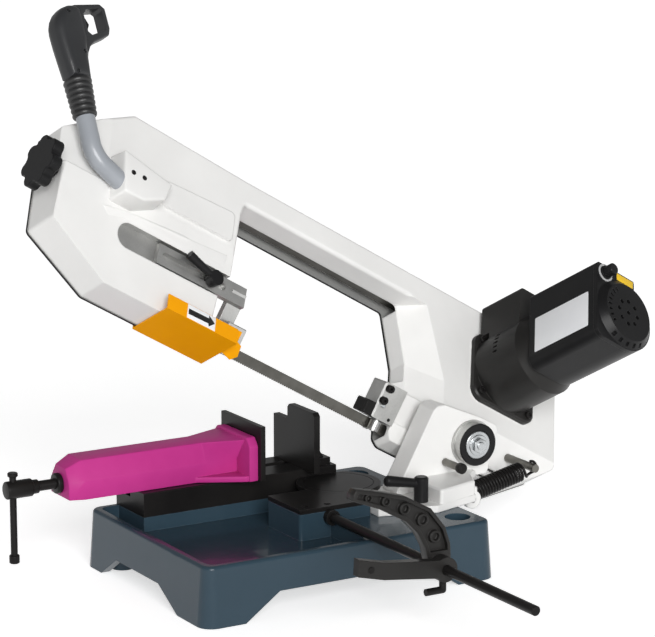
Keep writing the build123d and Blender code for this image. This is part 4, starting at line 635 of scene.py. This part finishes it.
pin_steel = metal(
    "oiled_pin_steel", (0.13, 0.125, 0.112), (0.21, 0.205, 0.185), 0.40,
    lines=(300.0, 60.0, 300.0),
)
grip_plastic = coated(
    "grip_moulded_plastic", (0.024, 0.025, 0.027), (0.033, 0.034, 0.036), 0.38,
    grain=1400.0, depth=0.12, specular=0.45, worn=(0.05, 0.05, 0.052), rubbed=0.4,
)
cover_inside = coated("cover_inside_grey", (0.22, 0.22, 0.215), (0.28, 0.28, 0.27), 0.5, depth=0.05)
ring_grey = coated("dial_ring_grey", (0.40, 0.40, 0.40), (0.48, 0.48, 0.48), 0.40, depth=0.02, edge=0.0003)
plate_white = film("bare_plate_white", (0.84, 0.85, 0.87), (0.91, 0.92, 0.93))
patch_yellow = film("bare_patch_yellow", (0.80, 0.50, 0.015), (0.88, 0.57, 0.02))
patch_black = film("patch_black_film", (0.010, 0.010, 0.010), (0.016, 0.016, 0.016))


# finishes of the CAD nodes

for node, piece in nodes.items():
    piece.data.materials.clear()
    piece.data.materials.append(finish[node_slots[node]])

for node, material in (
    ("lower_guide_clamp", finish["black_steel"]),
    ("spring_pin", pin_steel),
    ("stop_pin", pin_steel),
    # the pivot disc gets the grey of bare aluminium as painted shade: the grey stands for white paint seen in
    # shadow
    ("pivot_disc", finish["bare_aluminium"]),
):
    nodes[node].data.materials[0] = material


def finish_faces(node, material, wanted):
    """Another finish on those faces of a CAD node whose middle and normal pass the test."""
    mesh = nodes[node].data
    mesh.materials.append(material)
    for face in mesh.polygons:
        if wanted(face.center, face.normal):
            face.material_index = 1


def in_guide_recess(middle, normal):
    """Test for the faces of the recess in which the guide slides."""
    left, right = -302, -124
    centre, half = -50, 16.2
    floor, rim = -9.6, -0.4
    spot = middle - face_seat
    a = spot.dot(along) / MM
    q = spot.dot(face_up) / MM
    level = spot.dot(face_out) / MM
    return floor < level < rim and left < a < right and abs(q - centre) < half


def beside_ring_front(middle, normal):
    """Test for the sides of the pivot ring, which only has its front black."""
    return normal.dot(FRONT) < 0.5


finish_faces("bow_casting", finish["bare_aluminium"], in_guide_recess)
finish_faces("wheel_cover", cover_inside, facing(out))
finish_faces("pivot_ring", finish["bare_aluminium"], beside_ring_front)


# cap screws

# shares of a head's radius that its key and its rounded rim take, and of its height under the key
KEY_SHARE = 0.55
RIM_SHARE = 0.12
KEY_FOOT = 0.4


def socket_screw(radius, tall, key_radius):
    """Cap screw head with a hexagon recess, standing on its seat."""
    head = upright_bar(radius, tall, sides=40)
    near_top = tall * MM * 0.9
    pick_edges(head, lambda first, second: min(first.z, second.z) > near_top)
    bpy.ops.mesh.bevel(offset=radius * MM * RIM_SHARE, segments=3)
    to_object()
    key = upright_bar(key_radius, tall, sides=6)
    key.location.z = tall * MM * KEY_FOOT
    cut_away(head, key)
    smooth(head, 30)
    return head


def put_screws(node, way, material):
    """Modelled cap screws in the places of a CAD group of plain heads."""
    placed = []
    for points in islands(node):
        heights = [point.dot(way) for point in points]
        middle = sum(points, Vector()) / len(points)
        foot = middle + way * (min(heights) - middle.dot(way))
        radius = max((point - foot - way * (point - foot).dot(way)).length for point in points) / MM
        head = socket_screw(radius, (max(heights) - min(heights)) / MM, radius * KEY_SHARE)
        side = along if abs(way.dot(along)) < SAME_WAY else out
        settle(head, axes_at(foot, side, way))
        placed.append(head)
    stand_in(join(placed, node + "_modelled"), node, material)


put_screws("base_screws", TOP, finish["black_steel"])
put_screws("jaw_screws", RIGHT, finish["black_steel"])
put_screws("flange_screws", out, finish["black_steel"])
put_screws("cover_screws", -out, finish["steel"])


# bare plate and patch on the motor

# a film lies a little off what carries it, so that no two faces coincide
LIFT = 0.05
FILM_THICK = 0.4
PATCH_STEP = 0.2
BARREL_LEFT = 247
CAP_FACE = 242 + LIFT


def put_plate(name, long, tall, corner, matrix, material):
    """Flat plate with round corners and a soft edge, lying on the motor."""
    thick = FILM_THICK * MM
    bpy.ops.object.select_all(action="DESELECT")
    bpy.ops.mesh.primitive_cube_add(size=1, location=(0, 0, 0.5))
    plate = bpy.context.object
    plate.name = name
    bpy.ops.object.transform_apply(location=True)
    plate.scale = (long * MM, tall * MM, thick)
    bpy.ops.object.transform_apply(scale=True)
    pick_edges(plate, lambda first, second: abs(first.z - second.z) > thick / 2)
    bpy.ops.mesh.bevel(offset=corner * MM, segments=5)
    to_object()
    pick_edges(plate, lambda first, second: min(first.z, second.z) > thick * 0.9)
    bpy.ops.mesh.bevel(offset=thick * 0.3, segments=2)
    to_object()
    smooth(plate)
    settle(plate, matrix)
    finish_piece(plate, "bow", material)


def make_motor_plates():
    """Plate on the side of the barrel, and the patch with its border on the end cap."""
    side = axes_at(on_bow(BARREL_LEFT - LIFT, 125.5, 184), out, -along)
    put_plate("motor_plate_bare", 88, 48, 1.5, side, plate_white)
    patch_a, patch_v = 294.5, 180.5
    border = axes_at(on_bow(patch_a, patch_v, CAP_FACE), along, out)
    put_plate("motor_patch_border", 31, 12.2, 1.2, border, patch_black)
    patch = axes_at(on_bow(patch_a, patch_v, CAP_FACE + PATCH_STEP), along, out)
    put_plate("motor_patch_bare", 28, 9.4, 0.8, patch, patch_yellow)


make_motor_plates()


# vise carriage and its screw

# level of the carriage's foot, and the two sides of its flange
CARRIAGE_FOOT = 97.8
FLANGE_LEFT = -24
FLANGE_RIGHT = -12


def carriage_ridge():
    """Hollow ridge of the carriage, with a tapered nose and flared towards the flange."""
    tip, nose, flare = -240, -222, -66
    taper = 0.80
    front_flare, back_flare = at(0, -32, 5), at(0, 2, 5)
    ridge = [(80, CARRIAGE_FOOT), (80, 120), (92, 142), (124, 143), (140, 121), (140, CARRIAGE_FOOT)]
    body = traced("vise_carriage_cast", [at(nose, y, z) for y, z in ridge], at(flare - nose, 0, 0))
    pick_faces(body, facing(-RIGHT))
    bpy.ops.mesh.extrude_region_move(TRANSFORM_OT_translate={"value": at(tip - nose, 0, 0)})
    nose_foot = Vector((tip * MM, screw_line.y, CARRIAGE_FOOT * MM))
    bpy.ops.transform.resize(value=(1.0, taper, taper), center_override=nose_foot)
    to_object()
    pick_faces(body, facing(RIGHT))
    bpy.ops.mesh.extrude_region_move(TRANSFORM_OT_translate={"value": at(FLANGE_LEFT - flare, 0, 0)})
    to_object()

    def flange_top(point):
        """Test for the upper corners at the flange."""
        return point.x > (FLANGE_LEFT - 6) * MM and point.z > 130 * MM

    def behind_screw(point):
        """Test for the far side of the screw."""
        return point.y > screw_line.y

    pick_points(body, lambda point: flange_top(point) and not behind_screw(point))
    bpy.ops.transform.translate(value=front_flare)
    to_object()
    pick_points(body, lambda point: flange_top(point) and behind_screw(point))
    bpy.ops.transform.translate(value=back_flare)
    to_object()
    soften(body, 1.0, steps=2)
    room_left, room_long = -216, 182
    hollow = [(86, 90), (86, 118), (95, 136), (121, 136.5), (134, 119), (134, 90)]
    room = traced("carriage_room", [at(room_left, y, z) for y, z in hollow], at(room_long, 0, 0))
    bore = round_bar("carriage_bore", on_screw(-250), on_screw(-200), 6.4)
    cut_away(body, room, bore)
    return body


def make_carriage():
    """Cast carriage: its ridge, the flange behind the jaw plate, the foot web and the keel in the bed."""
    ridge = carriage_ridge()
    head = [(50, CARRIAGE_FOOT), (50, 140), (58, 150), (130, 150), (140, 140), (140, CARRIAGE_FOOT)]
    flange_thick = at(FLANGE_RIGHT - FLANGE_LEFT, 0, 0)
    flange = traced("carriage_flange", [at(FLANGE_LEFT, y, z) for y, z in head], flange_thick)
    soften(flange, 1.6)
    foot = [(-84, 82), (-22, 82), (-22, 52), (-26, 52)]
    web = traced("carriage_web", [at(x, y, CARRIAGE_FOOT) for x, y in foot], at(0, 0, 7))
    soften(web, 1.4)
    slot_depth = 9.6
    slot = [(-34, 104.5), (-18, 104.5), (-18, 115.5), (-34, 115.5)]
    keel = traced("carriage_keel", [at(x, y, CARRIAGE_FOOT - slot_depth) for x, y in slot], at(0, 0, 10))
    soften(keel, 0.8)
    whole = join([ridge, flange, web, keel], "vise_carriage_cast")
    smooth(whole, 24)
    stand_in(whole, "vise_carriage", finish["carriage_paint"])


def make_vise_screw():
    """Turned head with the cross hole of its bar, slim neck and screw, and the ring at the nose."""
    bar_x, bar_room, cross_half = -299, 4.2, 20

    def turned(name, start, end, radius, rounding):
        """Round length on the screw's line, with soft ends."""
        bar = round_bar(name, on_screw(start), on_screw(end), radius, sides=56)
        soften(bar, rounding)
        return bar

    head = turned("vise_screw_turned", -308, -276, 10.4, 1.4)
    cross = round_bar("vise_bar_hole", on_screw(bar_x, -cross_half), on_screw(bar_x, cross_half), bar_room)
    cut_away(head, cross)
    shoulder = turned("vise_screw_shoulder", -278, -268, 8.2, 1.2)
    neck = turned("vise_screw_neck", -270, -40, 6.0, 0.8)
    screw = join([head, shoulder, neck], "vise_screw_turned")
    smooth(screw, 35)
    stand_in(screw, "vise_screw", finish["black_steel"])
    ring = turned("screw_collar_turned", -247, -240, 12.0, 1.6)
    bore = round_bar("screw_collar_bore", on_screw(-250), on_screw(-236), 6.3)
    cut_away(ring, bore)
    smooth(ring, 35)
    stand_in(ring, "screw_collar", finish["black_steel"])


make_carriage()
make_vise_screw()


# pistol grip and its boot


def grip_slab(name, shape, half):
    """Solid of an outline on the grip, as deep to the back as to the front."""
    return traced(name, [on_grip(p, s, -half) for p, s in shape], out * (2 * half * MM))


def make_grip():
    """Round moulded handle with a heavy shoulder, and the square frame that guards the trigger finger."""
    rounding = 12.6
    handle = [
        (-14.5, 46), (15, 46), (17, 66), (19, 84), (21, 92), (22, 100), (21.5, 122), (20, 134), (13, 139),
        (4, 137.6), (-5, 133.4), (-12, 127), (-17.2, 119), (-20, 111), (-20.8, 103), (-19.6, 86),
        (-17.2, 66),
    ]
    body = grip_slab("handle_grip_moulded", handle, 13.5)

    def rim(first, second):
        """Test for the edges round the front and the back."""
        return abs((first - grip_seat).dot(out) - (second - grip_seat).dot(out)) < 1e-5

    pick_edges(body, rim)
    bpy.ops.mesh.bevel(offset=rounding * MM, segments=8, affect="EDGES", clamp_overlap=True)
    to_object()
    outer = [
        (10, 68), (16.6, 68), (20.4, 80), (25.5, 88.6), (33, 95), (43, 99.8), (58, 107), (61, 116),
        (60, 141), (53, 146), (12, 139.4),
    ]
    finger_frame = grip_slab("grip_frame", outer, 8.0)
    soften(finger_frame, 2.4)
    inner = [
        (26, 107), (31, 103.5), (53.5, 112.5), (54.5, 117), (53.8, 137), (50, 139.5), (30, 135.5),
        (24.5, 129),
    ]
    window = grip_slab("grip_window", inner, 30)
    slot = [(-2.4, 109.1), (32, 109.1), (32, 125.4), (-2.4, 125.4)]
    room = grip_slab("trigger_room", slot, 6.4)
    room_twin = copy_of(room, "trigger_room_twin")
    cut_away(finger_frame, window, room)
    cut_away(body, room_twin)
    for p, s in ((-1.5, 127), (9.5, 78), (-6, 52)):
        well = round_bar("grip_screw_well", on_grip(p, s, 9.5), on_grip(p, s, 18), 2.3, sides=24)
        cut_away(body, well)
    whole = join([body, finger_frame], "handle_grip_moulded")
    smooth(whole, 40)
    stand_in(whole, "handle_grip", grip_plastic)


def make_boot():
    """Ribbed rubber boot, tapered towards the tube, turned from its half section."""
    ribs, steps = 7, 7
    long, socket = 46.0, 24.0
    bore, groove, taper, rib_height = 11.05, 11.9, 2.6, 2.1
    edge = [(bore, 0.0)]
    for index in range(ribs):
        for step in range(steps):
            s = long * (index + step / steps) / ribs
            rib = math.sin(math.pi * step / steps) ** 0.6
            edge.append((groove + taper * s / long + rib_height * rib, s))
    edge.extend([(groove + taper, long), (0.0, long), (0.0, socket), (bore, socket)])
    points = [on_grip(p, s) for p, s in edge]
    boot = outline("handle_boot_ribbed", points + points[:1])
    edit_all(boot)
    bpy.ops.mesh.spin(steps=64, angle=2 * math.pi, center=grip_seat, axis=grip_up)
    bpy.ops.mesh.select_all(action="SELECT")
    bpy.ops.mesh.remove_doubles(threshold=1e-6)
    bpy.ops.mesh.dissolve_degenerate(threshold=1e-6)
    bpy.ops.mesh.select_all(action="SELECT")
    bpy.ops.mesh.normals_make_consistent(inside=False)
    to_object()
    smooth(boot, 50)
    stand_in(boot, "handle_boot", finish["boot_rubber"])


make_grip()
make_boot()


# cast forms on the front of the bow


def make_tube_boss():
    """Tapered boss that takes the handle tube, with its two clamp screws."""
    low, top, draft = 32, 62.6, 0.92
    foot = [(-320, 84.4), (-326, 142), (-250.8, 128.4), (-258, 101.4), (-290, 84.4)]
    boss = traced("handle_tube_boss", [on_bow(a, v, low) for a, v in foot], out * ((top - low) * MM))
    pick_faces(boss, facing(out))
    bpy.ops.transform.resize(value=(draft, draft, draft), center_override=on_bow(-289, 112, top))
    to_object()
    soften(boss, 3.0, steps=4)
    finish_piece(boss, "bow", finish["bow_paint"])
    screws = []
    for a, v in ((-309, 114.8), (-293.5, 115.2)):
        head = socket_screw(radius=3.0, tall=0.9, key_radius=1.7)
        settle(head, axes_at(on_bow(a, v, top - 0.1), along, out))
        screws.append(head)
    group = join(screws, "tube_boss_screws")
    finish_piece(group, "bow", finish["black_steel"])


def make_housing_ridge():
    """Cast ridge above the guide's recess, falling away towards it and low where the clamp lever passes."""
    rise, left, low, foot, sunk = 3.2, 0.6, 0.45, -0.2, -3.5
    shape = [
        (-326, -28, left), (-293, -22.8, rise), (-215, -15.9, rise), (-199, -14.5, low), (-148, -10, low),
        (-150, -33.3, foot), (-206, -33.3, foot), (-296, -33.3, foot), (-318, -40, foot),
    ]
    corners = [on_face(a, q, sunk) for a, q, level in shape]
    ridge = traced("housing_ridge", corners, face_out * ((rise - sunk) * MM))
    for a, q, level in shape:
        top = on_face(a, q, rise)
        pick_points(ridge, lambda point: (point - top).length < 0.1 * MM)
        bpy.ops.transform.translate(value=face_out * ((level - rise) * MM))
        to_object()
    soften(ridge, 1.6, sharp=40)
    finish_piece(ridge, "bow", finish["bow_paint"])


make_tube_boss()
make_housing_ridge()


# saw band with its teeth, and the counterbalance spring


def make_band():
    """Band with a row of raked teeth on its lower edge between the guides."""
    band = merged_copy("saw_band")
    pitch, teeth, cutter_front, cutter_deep = 3.2, 82, 3, 6
    gullet = [(-132, -8.0), (-132, -6.45), (-131.2, -5.1), (-129.4, -8.0)]
    corners = [on_cut(a, w, cutter_front) for a, w in gullet]
    cutter = traced("tooth_gap", corners, -FRONT * (cutter_deep * MM))
    row = cutter.modifiers.new("row", "ARRAY")
    row.use_relative_offset = False
    row.use_constant_offset = True
    row.constant_offset_displace = along * (pitch * MM)
    row.count = teeth
    apply_modifiers(cutter)
    cut_away(band, cutter)
    edit_all(band)
    bpy.ops.mesh.quads_convert_to_tris(quad_method="BEAUTY", ngon_method="BEAUTY")
    to_object()
    smooth(band, 35)
    stand_in(band, "saw_band", finish["band_steel"])


def make_spring():
    """Copy of the CAD spring, shaded smooth and in blackened steel, shown in the place of the CAD node."""
    coil = merged_copy("tension_spring")
    smooth(coil, 60)
    coil.data.materials.clear()
    coil.data.materials.append(finish["black_steel"])
    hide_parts("tension_spring")
    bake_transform(coil)


make_band()
make_spring()


# pivot bolt, stop pin and lower guide


def make_pivot_bolt():
    """Turned washer, its step, hexagon head and the end of the stud, inside the black ring."""
    x, front, z = 236.0, -40.3, 128.5
    turnings = (
        ("pivot_bolt_turned", 3, 0, 16.8, 72, 1.1),
        ("pivot_step", 1, -1.4, 12.4, 64, 0.6),
        ("pivot_hexagon", 0, -5.4, 9.6, 6, 0.7),
        ("pivot_stud", -4, -7, 4.8, 40, 0.9),
    )
    parts = []
    for name, back, face, radius, sides, rounding in turnings:
        part = round_bar(name, at(x, front + back, z), at(x, front + face, z), radius, sides)
        soften(part, rounding)
        parts.append(part)
    bolt = join(parts, "pivot_bolt_turned")
    smooth(bolt, 30)
    stand_in(bolt, "pivot_bolt", finish["zinc"])


def make_stop_head():
    """Head of the stop pin, with a hexagon recess."""
    x, z = 200, 109
    back, face = -54.5, -62.5
    key_floor, key_mouth = -62.2, -68
    head = round_bar("stop_pin_head", at(x, back, z), at(x, face, z), 6.4)
    soften(head, 1.2)
    well = round_bar("stop_pin_well", at(x, key_floor, z), at(x, key_mouth, z), 2.8, sides=6)
    cut_away(head, well)
    smooth(head, 30)
    finish_piece(head, node_bodies["stop_pin"], finish["black_steel"])


def make_lower_guide_screws():
    """Two grip screws, a small grub screw and a bright dowel on the front of the lower guide block."""
    block_front = 14.0
    grip_screw = {"radius": 4.7, "tall": 6.5, "key_radius": 2.3}
    grub_screw = {"radius": 2.1, "tall": 0.5, "key_radius": 1.2}
    heads = []
    for a, w, size in ((107.5, 46.5, grip_screw), (106.0, 31.0, grip_screw), (126, 13, grub_screw)):
        head = socket_screw(**size)
        settle(head, axes_at(on_cut(a, w, block_front), along, FRONT))
        heads.append(head)
    group = join(heads, "lower_guide_screws")
    finish_piece(group, "bow", finish["black_steel"])
    a, w = 109.5, 25.0
    dowel = round_bar("lower_guide_dowel", on_cut(a, w, 13.5), on_cut(a, w, 18.0), 2.3, sides=28)
    soften(dowel, 0.7)
    finish_piece(dowel, "bow", finish["zinc"])


make_pivot_bolt()
make_stop_head()
make_lower_guide_screws()


# material stop and tension knob


def make_stop_boss(x, z, radius, front):
    """Round boss with a well, in the hollow of the stop's arm."""
    floor, low, high, above = front + 8, front + 6.5, front + 1.2, front - 2.8
    boss = round_bar("stop_arm_boss", on_stop(x, floor, z), on_stop(x, high, z), radius, sides=32)
    soften(boss, 0.8, steps=2)
    well_radius = radius * 0.66
    well = round_bar("stop_arm_well", on_stop(x, low, z), on_stop(x, above, z), well_radius, sides=32)
    cut_away(boss, well)
    return boss


def make_stop_arm():
    """Arched arm of the material stop: a deep rim round a hollow with round bosses, and its hub."""
    front, deep = -284.7, 14.0
    arch = [
        (16, 6), (15, 24), (8, 44), (-10, 66), (-42, 84), (-77, 94), (-104, 100), (-108, 95), (-109, 88),
        (-74, 74), (-42, 56), (-27, 41), (-17, 23), (-13, 6),
    ]
    arm = traced("stop_arm_cast", [on_stop(x, front, z) for x, z in arch], at(0, deep, 0))
    soften(arm, 1.3, steps=2)
    above = front - 4
    sunk = [
        (11.4, 17), (10.8, 24), (4.2, 41.5), (-12.8, 62.5), (-43.5, 79.8), (-77, 89.6), (-102, 95),
        (-103.6, 90), (-72.5, 78.2), (-39.6, 60), (-23.5, 43.6), (-13.2, 25), (-11, 17),
    ]
    hollow = traced("stop_arm_hollow", [on_stop(x, above, z) for x, z in sunk], at(0, 10, 0))
    cut_away(arm, hollow)
    bosses = ((-88, 88, 4.6), (-66, 81.5, 5.6), (-42.5, 70, 6.6), (-19.5, 54.5, 7.2), (-3.5, 33.5, 7))
    parts = [arm] + [make_stop_boss(x, z, radius, front) for x, z, radius in bosses]
    hub = round_bar("stop_arm_hub", on_stop(0, front + deep, 0), on_stop(0, front, 0), 14.4, sides=56)
    soften(hub, 1.2, steps=2)
    bore = round_bar("stop_arm_bore", on_stop(0, -260, 0), on_stop(0, -300, 0), 5.8)
    bore_twin = copy_of(bore, "stop_arm_bore_twin")
    cut_away(hub, bore)
    cut_away(arm, bore_twin)
    whole = join(parts + [hub], "stop_arm_cast")
    smooth(whole, 30)
    stand_in(whole, "stop_arm", finish["black_aluminium"])


def make_knob():
    """Star knob with its lobes rounded over."""
    knob = merged_copy("tension_knob")
    edit_all(knob)
    bpy.ops.mesh.dissolve_limited(angle_limit=math.radians(0.8))
    to_object()
    soften(knob, 2.6, steps=4, sharp=50)
    stand_in(knob, "tension_knob", finish["black_plastic"])


make_stop_arm()
make_knob()


# arrow and folded foot of the guard, and the ring round the dial


def put_film(name, shape, level, material):
    """Thin film cut to a shape, on the front lip of the guard."""
    piece = traced(name, [on_bow(a, v, level) for a, v in shape], out * (FILM_THICK * MM))
    soften(piece, 0.1, steps=2)
    finish_piece(piece, node_bodies["blade_guard"], material)


def make_arrow():
    """Plain arrow on a white patch."""
    lip = 40 + LIFT
    patch = [(-199.5, -15.4), (-159, -15.4), (-159, 2.4), (-199.5, 2.4)]
    put_film("guard_patch", patch, lip, plate_white)
    arrow = [
        (-198, -10.2), (-169, -9.6), (-168.4, -13.2), (-160, -6.0), (-168.8, 1.2), (-169, -2.8),
        (-198, -3.2),
    ]
    put_film("guard_arrow", arrow, lip + 0.3, patch_black)


def make_dial_ring():
    """Flat grey ring round the speed dial."""
    seat = on_bow(261, 176, CAP_FACE)
    thick = out * (0.9 * MM)
    through = out * (4 * MM)
    ring = round_bar("dial_ring", seat, seat + thick, 11.6, sides=64)
    hole = round_bar("dial_ring_hole", seat - through, seat + through, 8.8, sides=64)
    cut_away(ring, hole)
    soften(ring, 0.25, steps=2)
    finish_piece(ring, node_bodies["motor_end_cap"], ring_grey)


def make_guard_tab():
    """Folded foot of the guard in front of the upper rollers."""
    back, thick = 14.3, 1.5
    shape = [(-128, 13.5), (-128, -4), (-109.5, -9), (-101.5, -2), (-103, 11), (-110, 13.5)]
    tab = traced("guard_tab", [on_cut(a, w, back) for a, w in shape], FRONT * (thick * MM))
    soften(tab, 0.5, steps=2)
    finish_piece(tab, node_bodies["blade_guard"], finish["guard_paint"])


make_arrow()
make_dial_ring()
make_guard_tab()


# floor, light and camera

WHITE = (1.0, 1.0, 1.0, 1.0)


def make_floor():
    """Pale floor that looks white to the camera and in reflections, and keeps the object's shadow."""
    glow = 0.58
    width, level = 34, -0.4 * MM
    bpy.ops.object.select_all(action="DESELECT")
    bpy.ops.mesh.primitive_plane_add(size=width, location=(0, 0, level))
    floor = bpy.context.object
    floor.name = "studio_floor"
    material, tree, shader = start_material("studio_floor_white")
    shader.inputs["Base Color"].default_value = (0.90, 0.90, 0.90, 1.0)
    shader.inputs["Roughness"].default_value = 0.9
    shader.inputs["Specular IOR Level"].default_value = 0.0
    shader.inputs["Emission Color"].default_value = WHITE
    path = tree.nodes.new("ShaderNodeLightPath")
    seen = combine(tree, "MAXIMUM", path.outputs["Is Camera Ray"], path.outputs["Is Glossy Ray"])
    seen = combine(tree, "MAXIMUM", seen, path.outputs["Is Transmission Ray"])
    tree.links.new(combine(tree, "MULTIPLY", seen, glow), shader.inputs["Emission Strength"])
    floor.data.materials.append(material)


def make_sky():
    """White surroundings, brighter towards the horizon."""
    horizon, overhead, overhead_from = 0.56, 0.10, 0.9
    world = bpy.data.worlds.new("studio_sky")
    bpy.context.scene.world = world
    world.use_nodes = True
    tree = world.node_tree
    sky = tree.nodes["Background"]
    sky.inputs["Color"].default_value = WHITE
    place = tree.nodes.new("ShaderNodeTexCoord")
    parts = tree.nodes.new("ShaderNodeSeparateXYZ")
    tree.links.new(place.outputs["Generated"], parts.inputs["Vector"])
    strength = spread(tree, parts.outputs["Z"], horizon, overhead, start=0.0, end=overhead_from)
    tree.links.new(strength, sky.inputs["Strength"])


def add_sun(name, energy, degrees, way):
    """Soft sun that shines from a direction."""
    light = bpy.data.lights.new(name, "SUN")
    light.energy = energy
    light.angle = math.radians(degrees)
    lamp = bpy.data.objects.new(name, light)
    lamp.rotation_euler = Vector(way).to_track_quat("Z", "Y").to_euler()
    bpy.context.scene.collection.objects.link(lamp)
    return lamp


def make_camera():
    """Camera where the photograph was taken from, its focal length turned from pixels into millimetres."""
    photo_wide, focal_pixels, sensor = 655.0, 2853.0, 36.0
    lens = bpy.data.cameras.new("photo_view")
    lens.sensor_width = sensor
    lens.lens = focal_pixels * sensor / photo_wide
    lens.clip_end = 100.0
    camera = bpy.data.objects.new("photo_view", lens)
    place = Vector((-1.6007, -2.7614, 0.9769))
    look = Vector((0.50237, 0.83941, -0.20741))
    right = Vector((0.85806, -0.51354, 0.0))
    turned = Matrix((right, right.cross(look), -look)).transposed().to_4x4()
    camera.matrix_world = Matrix.Translation(place) @ turned
    bpy.context.scene.collection.objects.link(camera)
    bpy.context.scene.camera = camera


make_floor()
make_sky()
add_sun("key_sun", 2.75, 35, (-0.30, -0.89, 0.33))
back_fill = add_sun("back_fill", 0.7, 60, (0.45, 0.88, 0.14))
back_fill.visible_glossy = False
make_camera()
bpy.context.scene.view_settings.view_transform = "Standard"
